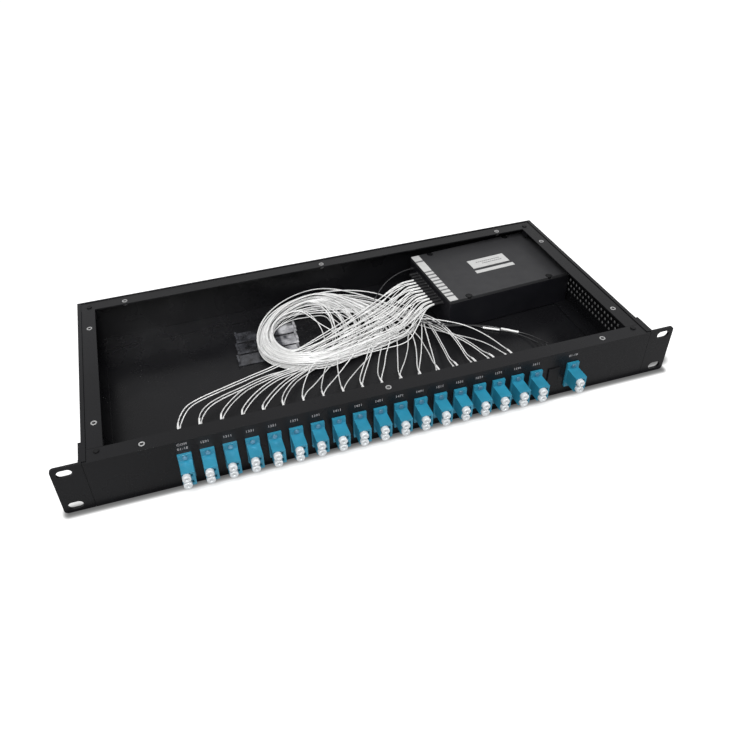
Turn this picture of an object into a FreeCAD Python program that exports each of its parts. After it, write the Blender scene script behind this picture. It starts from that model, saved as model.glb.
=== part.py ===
import FreeCAD, Part

import math
import os
import re

import Sketcher
from FreeCAD import Placement, Rotation, Vector

# A rack-mounted wavelength multiplexer, one rack unit tall, with its top cover taken off.
# Millimetres. +X runs along the front panel to the right, +Y runs from the front panel to the
# back wall and +Z is up. The origin is the middle of the chassis underside.

SIZES = {
    # Folded chassis
    "body_width": 440.0,
    "body_depth": 197.0,
    "body_height": 44.0,
    "sheet": 1.2,
    "hem_width": 3.0,
    "groove_width": 0.5,
    "groove_depth": 0.6,
    "cover_recess": 0.6,
    "side_flange": 14.5,
    "back_flange": 13.0,
    "back_lip": 17.5,
    "lap_tab_length": 8.0,
    "lap_tab_inset": 1.0,
    "lap_tab_behind": 3.0,
    "corner_tab_length": 9.0,
    "corner_tab_drop": 5.0,
    "corner_post_width": 7.0,
    "corner_post_rise": 22.0,
    "corner_post_inset": 12.5,
    # Vent holes in both side walls
    "vent_radius": 1.5,
    "vent_pitch": 5.0,
    "vent_row_pitch": 5.3,
    "vent_columns": 25.0,
    "vent_rows": 4.0,
    "vent_height": 22.0,
    # Front panel
    "front_sheet": 1.5,
    "front_flange": 12.5,
    "front_lip": 9.0,
    "seam_gap": 0.2,
    # Rack ears
    "ear_reach": 21.3,
    "slot_reach": 12.5,
    "slot_rise": 31.75,
    "slot_length": 10.5,
    "slot_width": 6.5,
    "ear_sheet": 2.0,
    "ear_leg": 20.6,
    "ear_corner": 3.0,
    "ear_screw_inset": 12.0,
    "ear_screw_rise": 20.0,
    "ear_screw_radius": 2.0,
    "ear_screw_length": 6.0,
    "ear_screw_head": 3.6,
    "ear_screw_head_height": 2.2,
    # Clinch nuts for the cover
    "nut_radius": 2.3,
    "nut_bore": 1.25,
    "nut_collar": 3.0,
    "nut_collar_height": 1.6,
    "nut_proud": 0.15,
    "nut_end_inset": 40.25,
    "nut_front_inset": 6.1,
    "nut_back_inset": 8.4,
    "nut_side_inset": 9.3,
    "nut_side_front": 38.3,
    "nut_side_back": 40.5,
    # Rivets at the corners of the flanges
    "rivet_radius": 1.5,
    "rivet_head": 2.2,
    "rivet_head_height": 0.8,
    "rivet_length": 4.0,
    "rivet_side_inset": 10.0,
    "rivet_front_inset": 9.4,
    "rivet_back_inset": 8.6,
    "fit_gap": 0.1,
    # Duplex adapters
    "adapter_first": -153.5,
    "adapter_pitch": 16.07,
    "adapter_height": 20.0,
    "adapter_flange_width": 10.0,
    "adapter_flange_tall": 23.2,
    "adapter_flange_thick": 2.0,
    "adapter_body_width": 9.3,
    "adapter_body_tall": 12.9,
    "adapter_front": 14.5,
    "adapter_rear": 14.0,
    "cutout_gap": 0.2,
    "adapter_screw_rise": 9.3,
    "adapter_screw_radius": 1.0,
    "adapter_screw_head": 1.7,
    "adapter_screw_head_height": 1.1,
    "adapter_screw_length": 6.0,
    "port_pitch": 6.25,
    "port_offset": 1.5,
    "port_wide": 5.2,
    "port_tall": 5.0,
    "port_depth": 10.5,
    "latch_wide": 2.0,
    "latch_tall": 2.8,
    "sleeve_bore": 1.25,
    # Dust caps
    "cap_radius": 2.85,
    "cap_length": 4.4,
    "cap_web_width": 2.4,
    "cap_web_length": 2.8,
    "cap_dimple": 0.9,
    "cap_dimple_depth": 1.5,
    "plug_gap": 0.3,
    "cap_pin_length": 7.0,
    # Connectors behind the panel
    "plug_length": 17.0,
    "ferrule_radius": 0.62,
    "ferrule_length": 5.0,
    "boot_length": 9.0,
    "boot_radius": 1.7,
    "boot_tip_radius": 0.9,
    # Blanking plug
    "blank_width": 9.8,
    "blank_tall": 19.0,
    "blank_thick": 1.2,
    "blank_depth": 6.0,
    "blank_wall": 1.2,
    # Multiplexer module
    "module_length": 123.0,
    "module_width": 82.0,
    "module_top": 34.2,
    "module_x": 152.4,
    "module_back_gap": 7.2,
    "module_turn": 3.6,
    "module_wall": 3.0,
    "module_floor": 2.5,
    "lid_thick": 3.0,
    "lid_ledge": 1.0,
    "notch_radius": 3.2,
    "module_screw_start": 19.5,
    "module_screw_span": 82.5,
    "module_screw_edge": 2.2,
    "module_screw_radius": 1.25,
    "module_screw_length": 10.0,
    "module_screw_head": 2.4,
    "module_screw_head_height": 1.9,
    "module_boss": 4.6,
    "foot_radius": 4.0,
    "foot_inset": 7.0,
    "foot_forward": 6.0,
    # Waveguide chip inside the module
    "chip_length": 62.0,
    "chip_width": 38.0,
    "chip_thick": 1.5,
    "chip_block": 8.0,
    "chip_margin": 4.0,
    # Fan-out boots
    "fanout_count": 12.0,
    "fanout_pitch": 4.75,
    "fanout_start": -27.2,
    "fanout_radius": 1.5,
    "fanout_reach": 8.6,
    "fanout_collar": 2.1,
    "fanout_collar_length": 1.2,
    "fanout_height": 25.0,
    "grommet_y": 35.0,
    "grommet_reach": 3.0,
    # Labels on the module lid
    "label_thick": 0.15,
    "strip_width": 8.0,
    "strip_length": 81.0,
    "wide_label_length": 38.0,
    "wide_label_width": 14.0,
    "thin_label_length": 40.0,
    "thin_label_width": 4.6,
    "label_x": 2.5,
    "wide_label_y": 5.4,
    "thin_label_y": -7.5,
    # Adhesive cable clips
    "clip_length": 56.0,
    "clip_width": 14.0,
    "clip_pitch": 16.5,
    "clip_stagger": 2.0,
    "clip_thick": 1.0,
    "clip_x": -66.0,
    "clip_back_gap": 56.5,
    "clip_tooth_height": 4.2,
    "clip_tooth": 2.0,
    "clip_shoulder": 2.0,
    # Coil of fibre
    "coil_x": -22.0,
    "coil_y": 43.0,
    "coil_radius": 52.0,
    "loops_x": -3.0,
    "loops_y": 47.0,
    "loops_radius": 48.0,
    "neck_end": 66.0,
    "neck_front": 5.0,
    "neck_back": 58.0,
    "coil_hole_x": -35.5,
    "coil_hole_y": 46.0,
    "coil_hole_radius": 27.0,
    "coil_bottom": 2.6,
    "coil_tall": 12.0,
    # Loose fibre
    "fibre": 0.9,
    "lead": 2.0,
    "lead_run": 4.0,
    "tail_run": 9.0,
    "tail_dip": 0.7,
    "splice_radius": 1.0,
}

ADAPTER_SLOTS = [slot for slot in range(20) if slot != 18]
BLANK_SLOT = 18
TRAY_NUTS = 7
NODES = []

doc = FreeCAD.newDocument("multiplexer")
sheet_object = doc.addObject("Spreadsheet::Sheet", "Sizes")
for row, (alias, number) in enumerate(SIZES.items(), start=1):
    sheet_object.set(f"A{row}", alias)
    sheet_object.set(f"B{row}", str(number))
    sheet_object.setAlias(f"B{row}", alias)
reading = doc.addObject("App::FeaturePython", "reading")
reading.addProperty("App::PropertyFloat", "Number")
doc.recompute()


def size(alias):
    return float(sheet_object.get(alias))


def number_of(text):
    """The value of an expression of the sheet's sizes."""
    reading.setExpression("Number", bound(text))
    reading.recompute()
    return reading.Number


def bound(text):
    """An expression in which each word that names a size refers to the sheet."""
    return re.sub(r"[a-z][a-z_]+", lambda word: "Sizes." + word.group(0) if word.group(0) in SIZES
                  else word.group(0), str(text))


def place(obj, corner, rotation=None):
    if rotation:
        obj.Placement = Placement(Vector(), rotation)
    for letter, text in zip("xyz", corner):
        obj.setExpression(f"Placement.Base.{letter}", bound(text))
    return obj


def box(name, lengths, corner):
    obj = doc.addObject("Part::Box", name)
    for prop, text in zip(("Length", "Width", "Height"), lengths):
        obj.setExpression(prop, bound(text))
    return place(obj, corner)


ALONG = {"x": Rotation(Vector(0, 1, 0), 90), "y": Rotation(Vector(1, 0, 0), -90), "z": Rotation()}


def cylinder(name, radius, length, base, direction="z"):
    obj = doc.addObject("Part::Cylinder", name)
    obj.setExpression("Radius", bound(radius))
    obj.setExpression("Height", bound(length))
    return place(obj, base, ALONG[direction])


def fuse(label, shapes):
    obj = doc.addObject("Part::MultiFuse", label)
    obj.Shapes = shapes
    return obj


def cut(label, base, tool):
    obj = doc.addObject("Part::Cut", label)
    obj.Base = base
    obj.Tool = tool
    return obj


def polygon_sketch(body, name, role, corners):
    """A closed outline on one of the body's own planes, every corner bound to the sheet."""
    sketch = body.newObject("Sketcher::SketchObject", name)
    plane = next(item for item in body.Origin.OriginFeatures if item.Role == role)
    sketch.AttachmentSupport = [(plane, "")]
    sketch.MapMode = "FlatFace"
    count = len(corners)
    turn = 2 * math.pi / count
    start = [Vector(math.cos(turn * at), math.sin(turn * at), 0) * 20 for at in range(count)]
    for at in range(count):
        sketch.addGeometry(Part.LineSegment(start[at], start[(at + 1) % count]), False)
    for at in range(count):
        sketch.addConstraint(Sketcher.Constraint("Coincident", at, 2, (at + 1) % count, 1))
    for at, corner in enumerate(corners):
        for kind, text in zip(("DistanceX", "DistanceY"), corner):
            index = sketch.addConstraint(Sketcher.Constraint(kind, -1, 1, at, 1, 1.0 + at))
            sketch.setExpression(f"Constraints[{index}]", bound(text))
    return sketch


def padded(body, name, sketch, length, reverse=False):
    pad = body.newObject("PartDesign::Pad", name)
    pad.Profile = sketch
    pad.setExpression("Length", bound(length))
    pad.Reversed = reverse
    return pad


def revolved(body, name, sketch):
    """A full turn of a half section drawn on the body's XZ plane, about its vertical axis."""
    turned = body.newObject("PartDesign::Revolution", name)
    turned.Profile = sketch
    turned.ReferenceAxis = (sketch, ["V_Axis"])
    turned.Angle = 360
    return turned


def subpart(obj, label):
    obj.Label = label
    NODES.append(label)
    return obj


def feature(label, shape):
    obj = doc.addObject("Part::Feature", label)
    obj.Shape = shape
    return subpart(obj, label)


# Heights and lines that several pieces share

FLANGE_TOP = "(body_height - cover_recess)"
FRONT = "(0 - body_depth / 2)"
BACK = "(body_depth / 2)"
PLUG_START = "(adapter_rear - port_depth + plug_gap)"


# Chassis tray: the floor, both hemmed side walls with their flanges, and the back wall

def chassis_tray():
    outline = [
        ("body_width / 2", "0"),
        ("body_width / 2", "body_height"),
        ("body_width / 2 - hem_width", "body_height"),
        ("body_width / 2 - hem_width", f"{FLANGE_TOP} - groove_depth"),
        ("body_width / 2 - hem_width - groove_width", f"{FLANGE_TOP} - groove_depth"),
        ("body_width / 2 - hem_width - groove_width", FLANGE_TOP),
        ("body_width / 2 - side_flange", FLANGE_TOP),
        ("body_width / 2 - side_flange", f"{FLANGE_TOP} - sheet"),
        ("body_width / 2 - sheet", f"{FLANGE_TOP} - sheet"),
        ("body_width / 2 - sheet", "2 * sheet"),
        ("body_width / 2 - side_flange", "2 * sheet"),
        ("body_width / 2 - side_flange", "sheet"),
    ]
    mirrored = [(f"0 - ({x})", z) for x, z in reversed(outline)]
    body = doc.addObject("PartDesign::Body", "tray_fold")
    section = polygon_sketch(body, "tray_section", "XZ_Plane", outline + mirrored)
    padded(body, "tray_length", section, "body_depth - front_sheet", reverse=True)
    place(body, ("0", f"{FRONT} + front_sheet", "0"))

    wall = box("back_wall", ("body_width", "sheet", "body_height"),
               ("0 - body_width / 2", f"{BACK} - sheet", "0"))
    flange = box("back_flange_sheet", ("body_width - 2 * hem_width", "back_flange", "sheet"),
                 ("hem_width - body_width / 2", f"{BACK} - back_flange", f"{FLANGE_TOP} - sheet"))
    lip = box("back_lip_sheet", ("body_width - 2 * sheet", "back_lip", "sheet"),
              ("sheet - body_width / 2", f"{BACK} - back_lip", "sheet"))
    extras = [body, wall, flange, lip]
    for side, sign in (("left", -1), ("right", 1)):
        edge = f"{sign} * (body_width / 2 - side_flange)"
        low = "0" if sign > 0 else "sheet"
        for end, start in (("front", f"{FRONT} + front_flange"),
                           ("back", f"{BACK} - back_flange - corner_tab_length")):
            extras.append(box(f"corner_tab_{side}_{end}",
                              ("sheet", "corner_tab_length", "corner_tab_drop"),
                              (f"{edge} - {low}", start, f"{FLANGE_TOP} - corner_tab_drop")))
        lap_width = "side_flange - hem_width - lap_tab_inset"
        lap_start = f"{edge}" if sign > 0 else f"{edge} - ({lap_width})"
        extras.append(box(f"lap_tab_{side}", (lap_width, "lap_tab_length", "sheet"),
                          (lap_start, f"{FRONT} + front_flange + lap_tab_behind - lap_tab_length",
                           f"{FLANGE_TOP} - front_sheet - sheet")))
        post_start = f"{sign} * (body_width / 2 - corner_post_inset) - corner_post_width / 2"
        extras.append(box(f"corner_post_{side}", ("corner_post_width", "sheet", "corner_post_rise"),
                          (post_start, f"{BACK} - 2 * sheet", "2 * sheet")))
    solid = fuse("tray_solid", extras)

    holes = []
    for column in range(int(size("vent_columns"))):
        for line in range(int(size("vent_rows"))):
            along = f"({column} + {line % 2} / 2 - vent_columns / 2 + 0.25) * vent_pitch"
            up = f"vent_height + ({line} - (vent_rows - 1) / 2) * vent_row_pitch"
            holes.append(cylinder(f"vent_{column}_{line}", "vent_radius", "body_width + 2",
                                  ("0 - body_width / 2 - 1", along, up), "x"))
    for side, start in (("left", "seam_gap + hem_width - body_width / 2"),
                        ("right", "body_width / 2 - side_flange - 1")):
        holes.append(box(f"flange_seat_{side}",
                         ("side_flange - hem_width - seam_gap + 1", "front_flange + seam_gap",
                          "front_sheet + 1"),
                         (start, FRONT, f"{FLANGE_TOP} - front_sheet")))
    for number, (x, y) in enumerate(nut_places()):
        holes.append(cylinder(f"tray_nut_hole_{number}", "nut_radius + fit_gap", "3 * sheet",
                              (x, y, f"{FLANGE_TOP} - 2 * sheet")))
    for number, (x, y) in enumerate(rivet_places()):
        holes.append(cylinder(f"tray_rivet_hole_{number}", "rivet_radius + fit_gap", "5 * sheet",
                              (x, y, f"{FLANGE_TOP} - 4 * sheet")))
    for number, (y, z) in enumerate(ear_screw_places()):
        holes.append(cylinder(f"wall_screw_hole_{number}", "ear_screw_radius + fit_gap",
                              "body_width + 2", ("0 - body_width / 2 - 1", y, z), "x"))
    subpart(cut("chassis_tray", solid, fuse("tray_holes", holes)), "chassis_tray")


def nut_places():
    """Every clinch nut: three in the back flange, two in each side flange, three in the front."""
    back = f"{BACK} - nut_back_inset"
    front = f"{FRONT} + nut_front_inset"
    side = "(body_width / 2 - nut_side_inset)"
    end = "(body_width / 2 - nut_end_inset)"
    places = [(f"{sign} * {end}", back) for sign in (-1, 0, 1)]
    for sign in (-1, 1):
        places.append((f"{sign} * {side}", f"{FRONT} + nut_side_front"))
        places.append((f"{sign} * {side}", f"{BACK} - nut_side_back"))
    places += [(f"{sign} * {end}", front) for sign in (-1, 0, 1)]
    return places


def rivet_places():
    across = "(body_width / 2 - rivet_side_inset)"
    return [(f"{sign} * {across}", y) for sign in (-1, 1)
            for y in (f"{FRONT} + rivet_front_inset", f"{BACK} - rivet_back_inset")]


def ear_screw_places():
    return [(f"{FRONT} + ear_screw_inset", f"body_height / 2 + {sign} * ear_screw_rise / 2")
            for sign in (-1, 1)]


def adapter_x(slot):
    return f"(adapter_first + {slot} * adapter_pitch)"


# Front panel: a folded sheet with its top flange, its bottom lip and twenty cut-outs

def front_panel():
    outline = [
        ("0", "0"),
        ("front_sheet", "0"),
        ("front_sheet", "sheet"),
        ("front_lip", "sheet"),
        ("front_lip", "sheet + front_sheet"),
        ("front_sheet", "sheet + front_sheet"),
        ("front_sheet", f"{FLANGE_TOP} - front_sheet"),
        ("front_flange", f"{FLANGE_TOP} - front_sheet"),
        ("front_flange", FLANGE_TOP),
        ("0", FLANGE_TOP),
    ]
    body = doc.addObject("PartDesign::Body", "panel_fold")
    section = polygon_sketch(body, "panel_section", "YZ_Plane", outline)
    padded(body, "panel_length", section, "body_width - 2 * seam_gap")
    place(body, ("seam_gap - body_width / 2", FRONT, "0"))

    tools = []
    for side, sign in (("left", -1), ("right", 1)):
        relief = "hem_width + seam_gap"
        start = "0 - body_width / 2 - 1" if sign < 0 else f"body_width / 2 - ({relief})"
        tools.append(box(f"flange_end_{side}", (f"{relief} + 1", "front_flange", "body_height + 2"),
                         (start, f"{FRONT} + front_sheet", "0 - 1")))
        lip_start = ("0 - body_width / 2 - 1" if sign < 0
                     else "body_width / 2 - side_flange - seam_gap")
        tools.append(box(f"lip_end_{side}", ("side_flange + seam_gap + 1", "front_lip",
                          "sheet + front_sheet + 2"),
                         (lip_start, f"{FRONT} + front_sheet", "0 - 1")))
    for slot in range(20):
        tools.append(box(f"cutout_{slot}",
                         ("adapter_body_width + 2 * cutout_gap", "front_sheet + 2",
                          "adapter_body_tall + 2 * cutout_gap"),
                         (f"{adapter_x(slot)} - adapter_body_width / 2 - cutout_gap",
                          f"{FRONT} - 1",
                          "adapter_height - adapter_body_tall / 2 - cutout_gap")))
    for slot in ADAPTER_SLOTS:
        for sign in (-1, 1):
            tools.append(cylinder(f"screw_hole_{slot}_{sign + 1}", "adapter_screw_radius + fit_gap",
                                  "front_sheet + 2",
                                  (adapter_x(slot), f"{FRONT} - 1",
                                   f"adapter_height + {sign} * adapter_screw_rise"), "y"))
    for number, (x, y) in enumerate(nut_places()[TRAY_NUTS:]):
        tools.append(cylinder(f"panel_nut_hole_{number}", "nut_radius + fit_gap", "4 * front_sheet",
                              (x, y, f"{FLANGE_TOP} - 2 * front_sheet")))
    for number, (x, y) in enumerate(rivet_places()):
        tools.append(cylinder(f"panel_rivet_hole_{number}", "rivet_radius + fit_gap",
                              "4 * front_sheet", (x, y, f"{FLANGE_TOP} - 2 * front_sheet")))
    subpart(cut("front_panel", body, fuse("panel_openings", tools)), "front_panel")


# Rack ears: bent brackets with two slots each

def rack_ear(side, sign):
    outline = [
        ("0", "0"),
        ("ear_reach", "0"),
        ("ear_reach", "ear_sheet"),
        ("ear_sheet", "ear_sheet"),
        ("ear_sheet", "ear_leg"),
        ("0", "ear_leg"),
    ]
    if sign < 0:
        outline = [(f"0 - {x}", y) for x, y in reversed(outline)]
    body = doc.addObject("PartDesign::Body", f"ear_fold_{side}")
    section = polygon_sketch(body, f"ear_section_{side}", "XY_Plane", outline)
    pad = padded(body, f"ear_height_{side}", section, "body_height")
    doc.recompute()
    outer = sign * size("ear_reach")
    corner_edges = []
    for number, edge in enumerate(pad.Shape.Edges, start=1):
        centre = edge.CenterOfMass
        level = min(centre.z, size("body_height") - centre.z)
        if abs(centre.x - outer) < 0.01 and level < 0.01:
            corner_edges.append(f"Edge{number}")
    rounding = body.newObject("PartDesign::Fillet", f"ear_corners_{side}")
    rounding.Base = (pad, corner_edges)
    rounding.setExpression("Radius", bound("ear_corner"))
    place(body, (f"{sign} * body_width / 2", FRONT, "0"))

    tools = []
    for level in (-1, 1):
        centre_x = f"{sign} * (body_width / 2 + slot_reach)"
        centre_z = f"body_height / 2 + {level} * slot_rise / 2"
        half = "(slot_length - slot_width) / 2"
        tools.append(box(f"slot_{side}_{level + 1}", ("slot_length - slot_width", "3 * ear_sheet",
                                                      "slot_width"),
                         (f"{centre_x} - {half}", f"{FRONT} - ear_sheet",
                          f"{centre_z} - slot_width / 2")))
        for end in (-1, 1):
            tools.append(cylinder(f"slot_end_{side}_{level + 1}_{end + 1}", "slot_width / 2",
                                  "3 * ear_sheet", (f"{centre_x} + {end} * {half}",
                                                    f"{FRONT} - ear_sheet", centre_z), "y"))
    for number, (y, z) in enumerate(ear_screw_places()):
        start = f"{sign} * body_width / 2 - 2 * ear_sheet"
        tools.append(cylinder(f"ear_screw_hole_{side}_{number}", "ear_screw_radius + fit_gap",
                              "4 * ear_sheet", (start, y, z), "x"))
    subpart(cut(f"ear_{side}", body, fuse(f"ear_openings_{side}", tools)), f"ear_{side}")


# Fasteners: each group is one node of separate turned solids

def turned_piece(name, outline):
    body = doc.addObject("PartDesign::Body", name)
    sketch = polygon_sketch(body, f"{name}_section", "XZ_Plane", outline)
    revolved(body, f"{name}_turn", sketch)
    return body


def screw_outline(radius, head, head_height, length):
    return [
        ("0", f"0 - {length}"),
        (radius, f"0 - {length}"),
        (radius, "0"),
        (head, "0"),
        (head, head_height),
        ("0", head_height),
    ]


def copies(label, spots):
    """One node of separate solids: each spot is a pattern piece, its place and its rotation."""
    doc.recompute()
    pieces = []
    for number, (master, spot, rotation) in enumerate(spots):
        piece = doc.addObject("Part::Feature", f"{label}_{number}")
        piece.Shape = master.Shape.copy()
        pieces.append(place(piece, spot, rotation))
    return subpart(group(label, pieces), label)


def group(label, pieces):
    together = doc.addObject("Part::Compound", label)
    together.Links = pieces
    return together


def fasteners():
    nut = [
        ("nut_bore", "nut_proud"),
        ("nut_radius", "nut_proud"),
        ("nut_radius", "0 - sheet"),
        ("nut_collar", "0 - sheet"),
        ("nut_collar", "0 - sheet - nut_collar_height"),
        ("nut_bore", "0 - sheet - nut_collar_height"),
    ]
    front_nut = [(x, z.replace("sheet", "front_sheet")) for x, z in nut]
    upright = Rotation()
    tray_nut = turned_piece("tray_nut", nut)
    panel_nut = turned_piece("panel_nut", front_nut)
    masters = [tray_nut] * TRAY_NUTS + [panel_nut] * (len(nut_places()) - TRAY_NUTS)
    copies("cover_nuts", [(master, (x, y, FLANGE_TOP), upright)
                          for master, (x, y) in zip(masters, nut_places())])

    rivet = turned_piece("rivet", screw_outline("rivet_radius", "rivet_head", "rivet_head_height",
                                                "rivet_length"))
    copies("corner_rivets", [(rivet, (x, y, FLANGE_TOP), upright) for x, y in rivet_places()])

    ear_screw = turned_piece("ear_screw", screw_outline(
        "ear_screw_radius", "ear_screw_head", "ear_screw_head_height", "ear_screw_length"))
    copies("ear_screws", [(ear_screw, (f"{sign} * (body_width / 2 + ear_sheet)", y, z),
                           Rotation(Vector(0, 1, 0), sign * 90))
                          for sign in (-1, 1) for y, z in ear_screw_places()])

    adapter_screw = turned_piece("adapter_screw", screw_outline(
        "adapter_screw_radius", "adapter_screw_head", "adapter_screw_head_height",
        "adapter_screw_length"))
    copies("adapter_screws", [(adapter_screw, (adapter_x(slot), f"{FRONT} - adapter_flange_thick",
                                               f"adapter_height + {sign} * adapter_screw_rise"),
                               Rotation(Vector(1, 0, 0), 90))
                              for slot in ADAPTER_SLOTS for sign in (-1, 1)])


# Duplex adapter, its dust cap and the connectors behind it, drawn about the adapter's own axis
# where it crosses the panel's front face

def adapter_master():
    flange = box("adapter_flange", ("adapter_flange_width", "adapter_flange_thick",
                                    "adapter_flange_tall"),
                 ("0 - adapter_flange_width / 2", "0 - adapter_flange_thick",
                  "0 - adapter_flange_tall / 2"))
    shell = box("adapter_shell", ("adapter_body_width", "adapter_front + adapter_rear",
                                  "adapter_body_tall"),
                ("0 - adapter_body_width / 2", "0 - adapter_front", "0 - adapter_body_tall / 2"))
    tools = []
    for sign in (-1, 1):
        centre = f"{sign} * port_pitch / 2"
        for end, start in (("front", "0 - adapter_front - 1"), ("rear", "adapter_rear - port_depth")):
            tools.append(box(f"port_{end}_{sign + 1}", ("port_wide", "port_depth + 1", "port_tall"),
                             ("0 - port_offset - port_wide / 2", start,
                              f"{centre} - port_tall / 2")))
            tools.append(box(f"latch_{end}_{sign + 1}",
                             ("latch_wide + 1", "port_depth + 1", "latch_tall"),
                             ("port_wide / 2 - port_offset - 1", start,
                              f"{centre} - latch_tall / 2")))
        tools.append(cylinder(f"sleeve_{sign + 1}", "sleeve_bore", "adapter_front + adapter_rear",
                              ("0 - port_offset", "0 - adapter_front", centre), "y"))
        tools.append(cylinder(f"flange_hole_{sign + 1}", "adapter_screw_radius + fit_gap",
                              "3 * adapter_flange_thick",
                              ("0", "0 - 2 * adapter_flange_thick",
                               f"{sign} * adapter_screw_rise"), "y"))
    return cut("adapter_pattern", fuse("adapter_solid", [flange, shell]),
               fuse("adapter_openings", tools))


def cap_master():
    pieces = []
    dimples = []
    for sign in (-1, 1):
        centre = f"{sign} * port_pitch / 2"
        pieces.append(cylinder(f"cap_head_{sign + 1}", "cap_radius", "cap_length",
                               ("0 - port_offset", "0 - adapter_front - cap_length", centre), "y"))
        pieces.append(box(f"cap_pin_{sign + 1}",
                          ("port_wide - 2 * plug_gap", "cap_pin_length",
                           "port_tall - 2 * plug_gap"),
                          ("plug_gap - port_offset - port_wide / 2", "0 - adapter_front",
                           f"{centre} - port_tall / 2 + plug_gap")))
        dimples.append(cylinder(f"cap_dimple_{sign + 1}", "cap_dimple", "cap_dimple_depth + 1",
                                ("0 - port_offset", "0 - adapter_front - cap_length - 1", centre),
                                "y"))
    pieces.append(box("cap_web", ("cap_web_width", "cap_web_length", "port_pitch"),
                      ("0 - port_offset - cap_web_width / 2", "0 - adapter_front - cap_web_length",
                       "0 - port_pitch / 2")))
    return cut("cap_pattern", fuse("cap_solid", pieces), fuse("cap_dimples", dimples))


def plug_master():
    """One connector with its latch, ferrule and boot, about its own port axis."""
    start = PLUG_START
    housing = box("plug_housing", ("port_wide - 2 * plug_gap", "plug_length",
                                   "port_tall - 2 * plug_gap"),
                  ("plug_gap - port_wide / 2", start, "plug_gap - port_tall / 2"))
    latch = box("plug_latch", ("latch_wide - plug_gap", "plug_length / 2", "latch_tall - 2 * plug_gap"),
                ("port_wide / 2 - plug_gap", start, "plug_gap - latch_tall / 2"))
    ferrule = cylinder("plug_ferrule", "ferrule_radius", "ferrule_length",
                       ("0", f"{start} - ferrule_length", "0"), "y")
    boot = doc.addObject("Part::Cone", "plug_boot")
    boot.setExpression("Radius1", bound("boot_radius"))
    boot.setExpression("Radius2", bound("boot_tip_radius"))
    boot.setExpression("Height", bound("boot_length"))
    place(boot, ("0", f"{start} + plug_length", "0"), ALONG["y"])
    return fuse("plug_pattern", [housing, latch, ferrule, boot])


def adapters_and_caps():
    adapter = adapter_master()
    cap = cap_master()
    plug = plug_master()
    doc.recompute()
    for name, master in (("adapter", adapter), ("dust_cap", cap)):
        for number, slot in enumerate(ADAPTER_SLOTS, start=1):
            piece = feature(f"{name}_{number:02d}", master.Shape.copy())
            place(piece, (adapter_x(slot), FRONT, "adapter_height"))
    copies("rear_plugs", [(plug, (f"{adapter_x(slot)} - port_offset", FRONT, port_height(sign)),
                           Rotation()) for slot in ADAPTER_SLOTS for sign in (-1, 1)])


def port_height(sign):
    return f"(adapter_height + {sign} * port_pitch / 2)"


def blank_plug():
    centre = adapter_x(BLANK_SLOT)
    plate = box("blank_plate", ("blank_width", "blank_thick", "blank_tall"),
                (f"{centre} - blank_width / 2", f"{FRONT} - blank_thick",
                 "adapter_height - blank_tall / 2"))
    skirt = box("blank_skirt", ("adapter_body_width", "blank_depth", "adapter_body_tall"),
                (f"{centre} - adapter_body_width / 2", FRONT,
                 "adapter_height - adapter_body_tall / 2"))
    hollow = box("blank_hollow", ("adapter_body_width - 2 * blank_wall", "blank_depth",
                                  "adapter_body_tall - 2 * blank_wall"),
                 (f"{centre} - adapter_body_width / 2 + blank_wall", f"{FRONT} + blank_wall",
                  "adapter_height - adapter_body_tall / 2 + blank_wall"))
    subpart(cut("blank_plug", fuse("blank_solid", [plate, skirt]), hollow), "blank_plug")


# Multiplexer module, drawn about the middle of its footprint with its length along X,
# then turned and set down on the floor lips

MODULE_Y = "(body_depth / 2 - module_back_gap - module_width / 2)"
MODULE_BOTTOM = "(2 * sheet)"
LID_BOTTOM = "(module_top - lid_thick)"


def seated(obj):
    """Moves a piece drawn about the module's middle to where the module sits."""
    place(obj, ("module_x", MODULE_Y, "0"))
    obj.setExpression("Placement.Rotation.Angle", bound("module_turn"))
    return obj


def module_screw_places():
    return [(f"(module_screw_start + {column} * module_screw_span - module_length / 2)",
             f"{sign} * (module_width / 2 - module_screw_edge)")
            for column in (0, 1) for sign in (-1, 1)]


def fanout_y(number):
    return f"(fanout_start + {number} * fanout_pitch)"


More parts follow.
